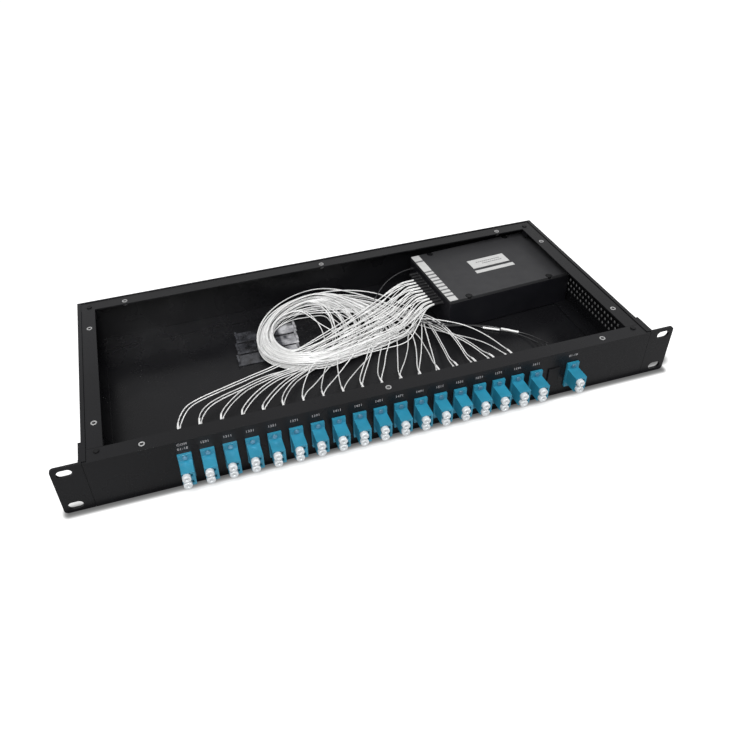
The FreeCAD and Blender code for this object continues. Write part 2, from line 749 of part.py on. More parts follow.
def module():
    case = box("case_outside", ("module_length", "module_width", f"{LID_BOTTOM} - {MODULE_BOTTOM}"),
               ("0 - module_length / 2", "0 - module_width / 2", MODULE_BOTTOM))
    cavity = box("case_inside", ("module_length - 2 * module_wall", "module_width - 2 * module_wall",
                                 "module_top"),
                 ("module_wall - module_length / 2", "module_wall - module_width / 2",
                  f"{MODULE_BOTTOM} + module_floor"))
    shell = cut("case_shell", case, cavity)
    bosses = []
    bores = []
    for number, (x, y) in enumerate(module_screw_places()):
        bosses.append(cylinder(f"case_boss_{number}", "module_boss",
                               f"{LID_BOTTOM} - {MODULE_BOTTOM}", (x, y, MODULE_BOTTOM)))
        bores.append(cylinder(f"case_bore_{number}", "module_screw_radius + fit_gap",
                              "module_screw_length", (x, y, f"{LID_BOTTOM} - module_screw_length + 1")))
    trimmed = doc.addObject("Part::MultiCommon", "case_bosses_trimmed")
    outline = box("case_outline", ("module_length", "module_width", "module_top"),
                  ("0 - module_length / 2", "0 - module_width / 2", MODULE_BOTTOM))
    trimmed.Shapes = [fuse("case_bosses", bosses), outline]
    feet = [cylinder(f"case_foot_{level + 1}", "foot_radius", "sheet",
                     ("foot_inset - module_length / 2",
                      f"{level} * (module_width / 2 - foot_inset) - foot_forward", "sheet"))
            for level in (-1, 1)]
    outlets = [fanout_y(number) for number in range(int(size("fanout_count")))] + ["grommet_y"]
    for number, across in enumerate(outlets):
        bores.append(cylinder(f"case_outlet_{number}", "fanout_radius + fit_gap",
                              "2 * module_wall", ("0 - module_length / 2 - module_wall / 2",
                                                  across, "fanout_height"), "x"))
    base = cut("module_base", fuse("case_solid", [shell, trimmed] + feet), fuse("case_bores", bores))
    subpart(seated(base), "module_base")

    plate = box("lid_plate", ("module_length", "module_width", "lid_thick"),
                ("0 - module_length / 2", "0 - module_width / 2", LID_BOTTOM))
    openings = []
    for number, (x, y) in enumerate(module_screw_places()):
        openings.append(cylinder(f"lid_notch_{number}", "notch_radius", "lid_thick",
                                 (x, y, f"{LID_BOTTOM} + lid_ledge")))
        openings.append(cylinder(f"lid_hole_{number}", "module_screw_radius + fit_gap", "lid_thick",
                                 (x, y, f"{LID_BOTTOM} - lid_thick / 2")))
    lid = cut("module_lid", plate, fuse("lid_openings", openings))
    subpart(seated(lid), "module_lid")

    screw = turned_piece("module_screw", screw_outline("module_screw_radius", "module_screw_head",
                                                       "module_screw_head_height",
                                                       "(module_screw_length - 2)"))
    seated(copies("module_screws", [(screw, (x, y, f"{LID_BOTTOM} + lid_ledge"), Rotation())
                                    for x, y in module_screw_places()]))

    chip = box("chip_plate", ("chip_length", "chip_width", "chip_thick"),
               ("0 - chip_length / 2", "0 - chip_width / 2",
                f"{MODULE_BOTTOM} + module_floor + chip_block"))
    block = box("chip_carrier", ("chip_length + 2 * chip_margin",
                                "chip_width + 2 * chip_margin", "chip_block"),
                ("0 - chip_length / 2 - chip_margin", "0 - chip_width / 2 - chip_margin",
                 f"{MODULE_BOTTOM} + module_floor"))
    subpart(seated(fuse("waveguide_chip", [block, chip])), "waveguide_chip")

    boots = []
    for number in range(int(size("fanout_count"))):
        face = "0 - module_length / 2"
        tube = cylinder(f"boot_tube_{number}", "fanout_radius", "fanout_reach + module_wall",
                        (f"{face} - fanout_reach", fanout_y(number), "fanout_height"), "x")
        collar = cylinder(f"boot_collar_{number}", "fanout_collar", "fanout_collar_length",
                          (f"{face} - fanout_collar_length", fanout_y(number), "fanout_height"), "x")
        boots.append(fuse(f"boot_{number}", [tube, collar]))
    boots.append(cylinder("grommet", "fanout_radius", "grommet_reach + module_wall",
                          ("0 - module_length / 2 - grommet_reach", "grommet_y", "fanout_height"),
                          "x"))
    subpart(seated(group("fanout_boots", boots)), "fanout_boots")

    labels = [
        box("number_strip", ("strip_width", "strip_length", "label_thick"),
            ("0 - module_length / 2", "0 - strip_length / 2", "module_top")),
        box("wide_label", ("wide_label_length", "wide_label_width", "label_thick"),
            ("label_x - wide_label_length / 2", "wide_label_y - wide_label_width / 2", "module_top")),
        box("thin_label", ("thin_label_length", "thin_label_width", "label_thick"),
            ("label_x - thin_label_length / 2", "thin_label_y - thin_label_width / 2", "module_top")),
    ]
    subpart(seated(group("module_labels", labels)), "module_labels")


# Adhesive clips that hold the left side of the coil

def cable_clips():
    clips = []
    for row in (-1, 0, 1):
        low_x = f"clip_x + {row} * clip_stagger - clip_length / 2"
        low_y = f"{BACK} - clip_back_gap + {row} * clip_pitch - clip_width / 2"
        pieces = [box(f"clip_base_{row + 1}", ("clip_length", "clip_width", "clip_thick"),
                      (low_x, low_y, "sheet"))]
        for end, start in (("outer", low_x), ("inner", f"{low_x} + clip_length - clip_tooth")):
            pieces.append(box(f"clip_tooth_{end}_{row + 1}",
                              ("clip_tooth", "clip_width - 2 * clip_shoulder", "clip_tooth_height"),
                              (start, f"{low_y} + clip_shoulder", "sheet")))
        clips.append(fuse(f"clip_{row + 1}", pieces))
    subpart(group("cable_clips", clips), "cable_clips")


# The wound fibre, as one solid of its outer shape with its open middle

def fibre_coil():
    round_part = cylinder("coil_round", "coil_radius", "coil_tall",
                          ("coil_x", "coil_y", "coil_bottom"))
    loops = cylinder("coil_loops", "loops_radius", "coil_tall", ("loops_x", "loops_y", "coil_bottom"))
    body = doc.addObject("PartDesign::Body", "coil_neck")
    neck = polygon_sketch(body, "neck_outline", "XY_Plane", [
        ("coil_x", "coil_y - coil_radius"),
        ("neck_end", "neck_front"),
        ("neck_end", "neck_back"),
        ("loops_x + loops_radius * 0.6", "loops_y + loops_radius * 0.8"),
        ("coil_x", "coil_y + coil_radius / 2"),
    ])
    padded(body, "neck_height", neck, "coil_tall")
    place(body, ("0", "0", "coil_bottom"))
    hole = cylinder("coil_hole", "coil_hole_radius", "3 * coil_tall",
                    ("coil_hole_x", "coil_hole_y", "coil_bottom - coil_tall"))
    subpart(cut("fibre_coil", fuse("coil_solid", [round_part, loops, body]), hole), "fibre_coil")


# Loose fibre: straight runs joined by tangent arcs

RADII = {}


def route_wire(name, points):
    """A wire along the points, with the largest arc that its shorter run allows at each turn."""
    edges = []
    start = points[0]
    radii = []
    for before, corner, after in zip(points, points[1:], points[2:]):
        inward = (corner - before).normalize()
        outward = (after - corner).normalize()
        half_turn = inward.getAngle(outward) / 2
        reach = 0.45 * min((corner - before).Length, (after - corner).Length)
        radius = reach / math.tan(half_turn)
        radii.append(radius)
        first = corner - inward * reach
        last = corner + outward * reach
        middle_way = (outward - inward).normalize()
        centre_distance = radius / math.cos(half_turn)
        middle = corner + middle_way * (centre_distance - radius)
        edges.append(Part.LineSegment(start, first).toShape())
        edges.append(Part.Arc(first, middle, last).toShape())
        start = last
    edges.append(Part.LineSegment(start, points[-1]).toShape())
    RADII[name] = min(radii)
    return Part.Wire(edges)


def tube(name, points, diameter):
    wire = route_wire(name, points)
    circle = Part.Wire(Part.Circle(points[0], points[1] - points[0], diameter / 2).toShape())
    solid = wire.makePipeShell([circle], True, False)
    expected = math.pi * diameter ** 2 / 4 * wire.Length
    if abs(solid.Volume / expected - 1) > 0.01:
        raise ValueError(f"{name}: volume {solid.Volume:.2f} against {expected:.2f}")
    return solid


# Where each adapter's two fibres run, from behind their plugs into the coil. One list stands for two
# fibres side by side; two lists are the fibre of the upper plug and the fibre of the lower plug.

TAIL_ROUTES = [
    [[(-152.5, -48, 20), (-146, -33, 16.5), (-133.5, -24.5, 14), (-119.5, -17.8, 12),
      (-104.5, -10.5, 9.5), (-88.5, -2.6, 7), (-72.5, 2.8, 6), (-57, 8.5, 6)]],
    [[(-137, -48, 19), (-129.5, -35.5, 15.5), (-116, -26.5, 13), (-101.5, -19, 10),
      (-86, -9.6, 7.2), (-70.5, -4.4, 5.4), (-56, -3.6, 4.6), (-43.5, -0.5, 4.6)]],
    [[(-119, -49, 19), (-110.5, -35.5, 15), (-99, -22.5, 11.5), (-86.5, -14.6, 8.5),
      (-71.5, -8.6, 7.4), (-55.5, -4.8, 7.2), (-39.5, -1.6, 7.4)]],
    [[(-102.5, -49, 18), (-94.5, -36, 14), (-82, -21.5, 9.5), (-67.5, -10.5, 6),
      (-51.5, -6.4, 4.6), (-36, -3.2, 4.4)]],
    [[(-86.5, -49, 17.5), (-78.5, -36.5, 13.5), (-66.5, -23, 10.4), (-54.5, -14.8, 8.8),
      (-42.5, -9.2, 8.6), (-30.5, -4.4, 8.8)]],
    [[(-72.5, -48, 17), (-65.5, -33, 11.5), (-56, -18.5, 6), (-44.5, -11.4, 5.4),
      (-33, -5.4, 5.8)]],
    [[(-56, -48, 17.5), (-51, -33.5, 12.5), (-44, -18.5, 9.4), (-34.5, -5.5, 9.9)],
     [(-53.5, -48, 15.5), (-43, -36, 11), (-32.5, -21.5, 6.4), (-23.5, -11.4, 4.8),
      (-14, -4.2, 4.4)]],
    [[(-40.5, -48, 17), (-35.5, -34, 13), (-29.5, -19, 10), (-21.5, -5.2, 9)],
     [(-37.5, -49, 15.5), (-25.5, -35, 11.5), (-13.5, -20, 8.2), (-5, -11, 8), (3.5, -2, 8.4)]],
    [[(-24.5, -48, 17), (-21.5, -33, 12.5), (-18, -17.5, 9.5), (-13.5, -2, 8.8)],
     [(-20.5, -48.5, 15.5), (-9.5, -35, 12), (2, -21, 7.6), (11.5, -11.5, 5.4), (19.5, -1, 5)]],
    [[(-8.5, -48, 16.5), (-2, -34, 12), (6, -19.5, 9.6), (12, -9, 9.2), (17.5, 1.6, 9)]],
    [[(7.5, -47, 16.5), (12.5, -33.5, 12.5), (19, -18, 8.8), (24.5, -7, 7), (28.5, 2.5, 6)],
     [(11, -47.5, 15.5), (18.5, -33, 12), (26.5, -14.5, 8.4), (33, -3.5, 7.8), (38, 5.5, 7.6)]],
    [[(25, -47, 16.5), (30.5, -32.5, 12.5), (37, -14.5, 8.6), (41, -4, 6.4), (44, 5.5, 5.4)],
     [(26.5, -48.5, 15.5), (36, -34, 11.8), (46, -15.5, 8.2), (51, -4.5, 7.6), (54.5, 6.5, 7.4)]],
    [[(42, -46, 16.5), (48, -31.5, 12.5), (54.5, -13.5, 8.2), (57.5, -2, 6.4), (59.5, 8.5, 5.4)],
     [(43.5, -47.5, 15.5), (51, -33, 13), (59, -15, 11.4), (67, 3.5, 10.4), (73, 20.5, 11.2),
      (72.5, 36, 12), (63, 47.2, 12.2)]],
    [[(56, -46, 16.5), (59.5, -31, 12.5), (62, -13.5, 8.4), (63.6, -1.5, 6.4), (63, 9, 5.4)],
     [(57.5, -47.5, 15.5), (62, -32, 12.5), (67, -13, 9.4), (71.5, 6, 8.4), (75.5, 22.5, 8.4),
      (73, 36, 8.6), (62, 43.5, 9)]],
    [[(70.5, -48, 17), (74, -33, 13), (77.5, -14.5, 8.6), (80.5, 5.5, 5.4), (81.5, 22, 4.2),
      (75.5, 34.5, 4.2), (63, 40, 4.8)]],
    [[(86, -48, 17), (89, -32, 13.5), (90.5, -13.5, 11), (89.5, 4.5, 9.8), (84, 20.5, 9.6),
      (74.5, 31.5, 10), (61.5, 37, 10.5)]],
    [[(100.5, -48, 17), (99.5, -33, 13.5), (96, -15, 9.6), (89, 2, 6.6), (81, 16.5, 6.6),
      (72.5, 26.5, 7), (61, 32.2, 7.4)]],
    [[(119, -48.5, 17.5), (118, -32, 14), (113, -16, 12.5), (104, -4.5, 13.5), (92.5, 1.2, 16),
      (80, 9.5, 16), (68, 19.5, 13), (57.5, 27.5, 10)],
     [(114.5, -48, 15.5), (111, -32, 12), (103, -15, 7.6), (91.5, -1, 4.4), (80.5, 11.5, 3.2),
      (71.5, 22, 3.4), (60, 28, 4.4)]],
]
BESIDE_LEFT = Vector(2.4, -1.8, -0.4)
BESIDE_RIGHT = Vector(-1.5, -1.5, -0.4)
FIRST_RIGHT_PAIR = 10

# How each bundle of fibres runs from its boot on the module down into the coil, front to back

LEAD_ROUTES = [
    [(73.5, 18.3, 23.4), (62, 16, 17.5), (51, 13.5, 12)],
    [(74, 24.6, 23.4), (62.5, 21.2, 17.8), (52, 18, 12.4)],
    [(73, 29.4, 23.4), (61, 25.8, 18.2), (50, 22.2, 12.8)],
    [(72.5, 34.2, 23.6), (60.5, 30.4, 18.4), (49.5, 26.6, 12.8)],
    [(72.5, 39.2, 23.4), (60, 35, 18.6), (49, 31, 13)],
    [(72, 44, 23.8), (59.5, 39.6, 18.8), (48, 35.4, 13)],
    [(72, 48.8, 23.6), (59, 44.4, 19), (47.5, 40, 13.2)],
    [(71.5, 53.4, 23.8), (58.5, 49.2, 19.2), (47, 44.6, 13.2)],
    [(70.5, 57.8, 23.8), (57.5, 54, 19.4), (46, 49.2, 13.4)],
    [(70, 62, 24), (57, 58.6, 19.6), (45.5, 53.8, 13.4)],
]

# The dark fibre from the module's back corner, and the two that end in the separate adapter, each
# in two lengths with a white splice sleeve between them

DARK_ROUTE = [(77.5, 80.6, 24.6), (68, 78.6, 22.5), (58, 74.6, 19.5), (49.5, 68, 16), (42.3, 61, 12.6)]
TO_SPLICE_ROUTES = [
    [(58, 20, 12), (73, 9.5, 13), (88.5, -1, 13.5), (103, -1.8, 11), (113.5, 0.6, 7),
     (120.5, 2, 3.2), (125, -0.5, 2.5)],
    [(59.3, 24.8, 9), (74, 14, 13.2), (89, 2.6, 12.8), (103.5, 2, 9), (116, 3.2, 4.8),
     (127, 1.8, 2.7), (134, -2.6, 2.5), (139.6, -7.3, 2.5)],
]
FROM_SPLICE_ROUTES = [
    [(137.5, -8.6, 2.5), (144.5, -13.5, 2.5), (151, -20.5, 2.6), (156, -30, 3.4),
     (158.5, -42, 6), (155.5, -53, 12.5)],
    [(152, -17.2, 2.5), (157, -22, 2.8), (161.5, -31.5, 4), (163, -43, 7.5), (159.5, -53.5, 15)],
]


def plug_tip(slot, sign):
    """The end of one connector's boot, where its fibre comes out."""
    return Vector(number_of(f"{adapter_x(slot)} - port_offset"),
                  number_of(f"{FRONT} + {PLUG_START} + plug_length + boot_length"),
                  number_of(port_height(sign)))


def out_of_plug(slot, sign):
    """The first two points of a fibre, straight back out of its boot."""
    tip = plug_tip(slot, sign)
    return [tip, tip + Vector(0, size("tail_run"), -size("tail_dip") - 0.3 * sign)]


def out_of_module(across, reach):
    """The point where a fibre leaves its boot on the module's left wall."""
    turned = Rotation(Vector(0, 0, 1), size("module_turn"))
    local = Vector(-size("module_length") / 2 - reach, across, 0)
    return turned.multVec(local) + Vector(size("module_x"), number_of(MODULE_Y),
                                          size("fanout_height"))


def fibre_tails():
    tubes = []
    for slot, routes in enumerate(TAIL_ROUTES):
        beside = BESIDE_RIGHT if slot >= FIRST_RIGHT_PAIR else BESIDE_LEFT
        for at, sign in enumerate((1, -1)):
            shift = beside if len(routes) == 1 and at == 1 else Vector()
            points = out_of_plug(slot, sign)
            points += [Vector(*point) + shift for point in routes[at % len(routes)]]
            tubes.append(tube(f"fibre {slot + 1} {'upper' if sign > 0 else 'lower'}", points,
                              size("fibre")))
    feature("fibre_tails", Part.makeCompound(tubes))


def fibre_leads():
    tubes = []
    for number, route in enumerate(LEAD_ROUTES):
        across = size("fanout_start") + number * size("fanout_pitch")
        points = [out_of_module(across, size("fanout_reach") + run)
                  for run in (0, size("lead_run"))]
        points += [Vector(*point) for point in route]
        tubes.append(tube(f"bundle {number + 1}", points, size("lead")))
    feature("fibre_leads", Part.makeCompound(tubes))


def dark_fibres():
    boot = out_of_module(size("grommet_y"), size("grommet_reach"))
    tubes = [tube("dark fibre", [boot] + [Vector(*point) for point in DARK_ROUTE], size("fibre"))]
    for number, sign in enumerate((-1, 1)):
        tubes.append(tube(f"dark fibre to splice {number + 1}",
                          [Vector(*point) for point in TO_SPLICE_ROUTES[number]], size("fibre")))
        points = [Vector(*point) for point in FROM_SPLICE_ROUTES[number]]
        points += reversed(out_of_plug(ADAPTER_SLOTS[-1], sign))
        tubes.append(tube(f"dark fibre from splice {number + 1}", points, size("fibre")))
    feature("dark_fibres", Part.makeCompound(tubes))


def splice_sleeves():
    sleeves = []
    for before, after in zip(TO_SPLICE_ROUTES, FROM_SPLICE_ROUTES):
        start = Vector(*before[-1])
        direction = Vector(*after[0]) - start
        sleeves.append(Part.makeCylinder(size("splice_radius"), direction.Length, start, direction))
    feature("splice_sleeves", Part.makeCompound(sleeves))


chassis_tray()
front_panel()
rack_ear("left", -1)
rack_ear("right", 1)
fasteners()
adapters_and_caps()
blank_plug()
module()
cable_clips()
fibre_coil()
fibre_tails()
fibre_leads()
dark_fibres()
splice_sleeves()
doc.recompute()

for name, radius in RADII.items():
    print(f"smallest radius, {name}: {radius:.1f}")

for item in doc.Objects:
    if "Invalid" in item.State or "Error" in item.State:
        raise RuntimeError(f"{item.Label} failed: {item.State}")

os.makedirs("parts", exist_ok=True)
for node in NODES:
    shape = doc.getObjectsByLabel(node)[0].Shape
    if shape.isNull() or not shape.isValid():
        raise RuntimeError(f"{node} has no valid shape")
    shape.exportStep(f"parts/{node}.step")
print(len(NODES), "nodes")
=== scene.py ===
import math

import bpy
import numpy as np
from bpy.props import FloatProperty, FloatVectorProperty, IntProperty, PointerProperty
from mathutils import Matrix


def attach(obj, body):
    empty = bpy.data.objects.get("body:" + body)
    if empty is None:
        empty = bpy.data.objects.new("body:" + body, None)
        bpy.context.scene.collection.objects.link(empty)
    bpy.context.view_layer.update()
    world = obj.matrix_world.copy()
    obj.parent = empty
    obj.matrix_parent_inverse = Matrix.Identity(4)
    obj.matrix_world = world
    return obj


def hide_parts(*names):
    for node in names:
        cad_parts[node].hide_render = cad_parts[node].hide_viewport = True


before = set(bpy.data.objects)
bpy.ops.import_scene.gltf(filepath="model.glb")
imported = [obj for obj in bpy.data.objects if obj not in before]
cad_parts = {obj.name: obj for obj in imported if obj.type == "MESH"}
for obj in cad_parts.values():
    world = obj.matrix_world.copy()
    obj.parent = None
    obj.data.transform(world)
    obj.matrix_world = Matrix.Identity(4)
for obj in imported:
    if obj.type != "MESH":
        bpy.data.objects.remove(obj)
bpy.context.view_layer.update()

bl_info = {
    "name": "Fibre multiplexer chassis",
    "version": (1, 0, 0),
    "blender": (4, 5, 0),
    "location": "3D View > Sidebar > Multiplexer",
    "description": "Dresses the packed multiplexer with its fibres, caps, prints and finishes",
    "category": "Object",
}

MM = 0.001
ROOT = "chassis"

# Lengths are in millimetres from here on, save where a name or a comment says otherwise. These are
# the front panel's face, the row of adapters along it, each adapter's ports and the plugs' ends.
FRONT = -98.5
BLANK_SLOT = 18
ADAPTER_SLOTS = [slot for slot in range(20) if slot != BLANK_SLOT]
ADAPTER_FIRST, ADAPTER_PITCH, ADAPTER_HEIGHT = -153.5, 16.07, 20.0
PORT_OFFSET, PORT_RISE, ADAPTER_REACH = 1.5, 3.125, 14.5
PLUG_TIP_Y = -68.7
# The first adapter's number, which isn't printed, the step to the next one, and how far the prints
# stand off the front panel and off the labels
CHANNEL_BASE, CHANNEL_STEP = 1271, 20
PANEL_INK, LABEL_INK = 0.03, 0.02
# The multiplexer box's middle, turn and top, and on its left wall the boots and the grommet
MODULE_X, MODULE_Y, MODULE_TURN, MODULE_TOP = 152.4, 50.3, math.radians(3.6), 34.35
BOOT_FACE, BOOT_FIRST, BOOT_PITCH, BOOT_HEIGHT = -70.1, -27.2, 4.75, 25.0
GROMMET_FACE, GROMMET_ACROSS = -64.5, 35.0
# The part of a noise's range that nearly all of its values lie in
NOISE_LOW, NOISE_HIGH = 0.35, 0.65

# Each adapter's two fibres, from behind their plugs into the coil. One list stands for two fibres
# side by side; two lists are the upper plug's fibre and the lower plug's fibre.
TAIL_ROUTES = [
    [[(-152.5, -48, 20), (-146, -33, 16.5), (-133.5, -24.5, 14), (-119.5, -17.8, 12),
      (-104.5, -10.5, 9.5), (-88.5, -2.6, 7), (-72.5, 2.8, 6), (-57, 8.5, 6)]],
    [[(-137, -48, 19), (-129.5, -35.5, 15.5), (-116, -26.5, 13), (-101.5, -19, 10),
      (-86, -9.6, 7.2), (-70.5, -4.4, 5.4), (-56, -3.6, 4.6), (-43.5, -0.5, 4.6)]],
    [[(-119, -49, 19), (-110.5, -35.5, 15), (-99, -22.5, 11.5), (-86.5, -14.6, 8.5),
      (-71.5, -8.6, 7.4), (-55.5, -4.8, 7.2), (-39.5, -1.6, 7.4)]],
    [[(-102.5, -49, 18), (-94.5, -36, 14), (-82, -21.5, 9.5), (-67.5, -10.5, 6),
      (-51.5, -6.4, 4.6), (-36, -3.2, 4.4)]],
    [[(-86.5, -49, 17.5), (-78.5, -36.5, 13.5), (-66.5, -23, 10.4), (-54.5, -14.8, 8.8),
      (-42.5, -9.2, 8.6), (-30.5, -4.4, 8.8)]],
    [[(-72.5, -48, 17), (-65.5, -33, 11.5), (-56, -18.5, 6), (-44.5, -11.4, 5.4),
      (-33, -5.4, 5.8)]],
    [[(-56, -48, 17.5), (-51, -33.5, 12.5), (-44, -18.5, 9.4), (-34.5, -5.5, 9.9)],
     [(-53.5, -48, 15.5), (-43, -36, 11), (-32.5, -21.5, 6.4), (-23.5, -11.4, 4.8),
      (-14, -4.2, 4.4)]],
    [[(-40.5, -48, 17), (-35.5, -34, 13), (-29.5, -19, 10), (-21.5, -5.2, 9)],
     [(-37.5, -49, 15.5), (-25.5, -35, 11.5), (-13.5, -20, 8.2), (-5, -11, 8), (3.5, -2, 8.4)]],
    [[(-24.5, -48, 17), (-21.5, -33, 12.5), (-18, -17.5, 9.5), (-13.5, -2, 8.8)],
     [(-20.5, -48.5, 15.5), (-9.5, -35, 12), (2, -21, 7.6), (11.5, -11.5, 5.4), (19.5, -1, 5)]],
    [[(-8.5, -48, 16.5), (-2, -34, 12), (6, -19.5, 9.6), (12, -9, 9.2), (17.5, 1.6, 9)]],
    [[(7.5, -47, 16.5), (12.5, -33.5, 12.5), (19, -18, 8.8), (24.5, -7, 7), (28.5, 2.5, 6)],
     [(11, -47.5, 15.5), (18.5, -33, 12), (26.5, -14.5, 8.4), (33, -3.5, 7.8), (38, 5.5, 7.6)]],
    [[(25, -47, 16.5), (30.5, -32.5, 12.5), (37, -14.5, 8.6), (41, -4, 6.4), (44, 5.5, 5.4)],
     [(26.5, -48.5, 15.5), (36, -34, 11.8), (46, -15.5, 8.2), (51, -4.5, 7.6), (54.5, 6.5, 7.4)]],
    [[(42, -46, 16.5), (48, -31.5, 12.5), (54.5, -13.5, 8.2), (57.5, -2, 6.4), (59.5, 8.5, 5.4)],
     [(43.5, -47.5, 15.5), (51, -33, 13), (59, -15, 11.4), (67, 3.5, 10.4), (73, 20.5, 11.2),
      (72.5, 36, 12), (63, 47.2, 12.2)]],
    [[(56, -46, 16.5), (59.5, -31, 12.5), (62, -13.5, 8.4), (63.6, -1.5, 6.4), (63, 9, 5.4)],
     [(57.5, -47.5, 15.5), (62, -32, 12.5), (67, -13, 9.4), (71.5, 6, 8.4), (75.5, 22.5, 8.4),
      (73, 36, 8.6), (62, 43.5, 9)]],
    [[(70.5, -48, 17), (74, -33, 13), (77.5, -14.5, 8.6), (80.5, 5.5, 5.4), (81.5, 22, 4.2),
      (75.5, 34.5, 4.2), (63, 40, 4.8)]],
    [[(86, -48, 17), (89, -32, 13.5), (90.5, -13.5, 11), (89.5, 4.5, 9.8), (84, 20.5, 9.6),
      (74.5, 31.5, 10), (61.5, 37, 10.5)]],
    [[(100.5, -48, 17), (99.5, -33, 13.5), (96, -15, 9.6), (89, 2, 6.6), (81, 16.5, 6.6),
      (72.5, 26.5, 7), (61, 32.2, 7.4)]],
    [[(119, -48.5, 17.5), (118, -32, 14), (113, -16, 12.5), (104, -4.5, 13.5), (92.5, 1.2, 16),
      (80, 9.5, 16), (68, 19.5, 13), (57.5, 27.5, 10)],
     [(114.5, -48, 15.5), (111, -32, 12), (103, -15, 7.6), (91.5, -1, 4.4), (80.5, 11.5, 3.2),
      (71.5, 22, 3.4), (60, 28, 4.4)]],
]
# Where the second of two fibres side by side lies from the first, left and right of the coil
BESIDE_LEFT = (2.4, -1.8, -0.4)
BESIDE_RIGHT = (-1.5, -1.5, -0.4)
FIRST_RIGHT_PAIR = 10

# Where the fibres of each boot run from the boot down into the coil, front boot first
LEAD_ROUTES = [
    [(73.5, 18.3, 23.4), (62, 16, 17.5), (51, 13.5, 12)],
    [(74, 24.6, 23.4), (62.5, 21.2, 17.8), (52, 18, 12.4)],
    [(73, 29.4, 23.4), (61, 25.8, 18.2), (50, 22.2, 12.8)],
    [(72.5, 34.2, 23.6), (60.5, 30.4, 18.4), (49.5, 26.6, 12.8)],
    [(72.5, 39.2, 23.4), (60, 35, 18.6), (49, 31, 13)],
    [(72, 44, 23.8), (59.5, 39.6, 18.8), (48, 35.4, 13)],
    [(72, 48.8, 23.6), (59, 44.4, 19), (47.5, 40, 13.2)],
    [(71.5, 53.4, 23.8), (58.5, 49.2, 19.2), (47, 44.6, 13.2)],
    [(70.5, 57.8, 23.8), (57.5, 54, 19.4), (46, 49.2, 13.4)],
    [(70, 62, 24), (57, 58.6, 19.6), (45.5, 53.8, 13.4)],
]
FIBRES_IN_BOOT = [4, 4, 4, 4, 4, 4, 3, 3, 3, 3]
# How far the fibres of one boot lie apart, stray, sag forward and dip at the three points of their
# route, from the coil to the boot
LEAD_APART, LEAD_STRAY = np.array([2.6, 1.8, 1.0]), np.array([7, 3.5, 0.6])
LEAD_SAG, LEAD_DIP = np.array([13, 9, 3]), np.array([4, 4, 2])

# The dark fibre from the box's back corner, and the two that end in the separate adapter, each in
# two lengths with a white splice sleeve between them
DARK_ROUTE = [(77.5, 80.6, 24.6), (68, 78.6, 22.5), (58, 74.6, 19.5), (49.5, 68, 16),
              (42.3, 61, 12.6)]
TO_SPLICE_ROUTES = [
    [(58, 20, 12), (73, 9.5, 13), (88.5, -1, 13.5), (103, -1.8, 11), (113.5, 0.6, 7),
     (120.5, 2, 3.2), (125, -0.5, 2.5)],
    [(59.3, 24.8, 9), (74, 14, 13.2), (89, 2.6, 12.8), (103.5, 2, 9), (116, 3.2, 4.8),
     (127, 1.8, 2.7), (134, -2.6, 2.5), (139.6, -7.3, 2.5)],
]
FROM_SPLICE_ROUTES = [
    [(137.5, -8.6, 2.5), (144.5, -13.5, 2.5), (151, -20.5, 2.6), (156, -30, 3.4),
     (158.5, -42, 6), (155.5, -53, 12.5)],
    [(152, -17.2, 2.5), (157, -22, 2.8), (161.5, -31.5, 4), (163, -43, 7.5), (159.5, -53.5, 15)],
]

# The coil's ends and its middle, each (x, y) at the hole's edge and at the outside
COIL_LEFT, COIL_RIGHT = ((-60, 45), (-75, 46)), ((-23, 36), (76, 18))
COIL_FRONT, COIL_REAR = ((-34, 10), (-29, -12)), ((-31, 63), (5, 95))
COIL_MIDDLE = ((-31, 42), (-14, 36))
# The share of the turns, from the hole's edge, that lies apart from the others at the rear, and the
# number of loose groups on the right
COIL_APART, COIL_GROUPS = 0.13, 9


class FinishSettings(bpy.types.PropertyGroup):
    coat: FloatVectorProperty(
        name="Powder coat", description="Colour of the chassis sheets", subtype="COLOR", size=3,
        default=(0.0062, 0.0062, 0.0072), min=0, max=1)
    case: FloatVectorProperty(
        name="Lid", description="Colour of the multiplexer box's lid", subtype="COLOR", size=3,
        default=(0.031, 0.031, 0.033), min=0, max=1)
    adapter: FloatVectorProperty(
        name="Adapter", description="Colour of the adapter housings", subtype="COLOR", size=3,
        default=(0.014, 0.2, 0.31), min=0, max=1)
    cap: FloatVectorProperty(
        name="Dust cap", description="Colour of the dust caps", subtype="COLOR", size=3,
        default=(0.6, 0.63, 0.65), min=0, max=1)
    edge: FloatProperty(
        name="Edge rounding", description="Width of the rounding along the folded sheets' edges",
        default=0.0004, min=0, unit="LENGTH")


class FibreSettings(bpy.types.PropertyGroup):
    diameter: FloatProperty(
        name="Fibre diameter", description="Outer diameter of one buffered fibre",
        default=0.0009, min=0.0003, unit="LENGTH")
    colour: FloatVectorProperty(
        name="Fibre", description="Colour of the fibres' outer buffer", subtype="COLOR", size=3,
        default=(0.85, 0.85, 0.845), min=0, max=1)
    turns: IntProperty(
        name="Turns", description="How often each fibre passes the coil's left end",
        default=2, min=1, max=4)
    points: IntProperty(
        name="Points per turn", description="Control points in each turn of the coil",
        default=14, min=12, max=36)


class StageSettings(bpy.types.PropertyGroup):
    lens: FloatProperty(
        name="Lens", description="Focal length of the camera, in millimetres",
        default=35.42, min=10, unit="CAMERA")
    sky: FloatProperty(
        name="Soft light", description="Strength of the even light from all sides",
        default=0.42, min=0)
    lamp: FloatProperty(
        name="Lamps", description="Power of the large soft lamp above the chassis",
        default=36.0, min=0, unit="POWER")


# Materials

def shader(name, **sockets):
    """A new material with one Principled shader, its uniform values on its own sockets."""
    material = bpy.data.materials.new(name)
    material.use_nodes = True
    tree = material.node_tree
    principled = tree.nodes["Principled BSDF"]
    for socket, value in sockets.items():
        principled.inputs[socket.replace("_", " ")].default_value = value
    return material, tree, principled


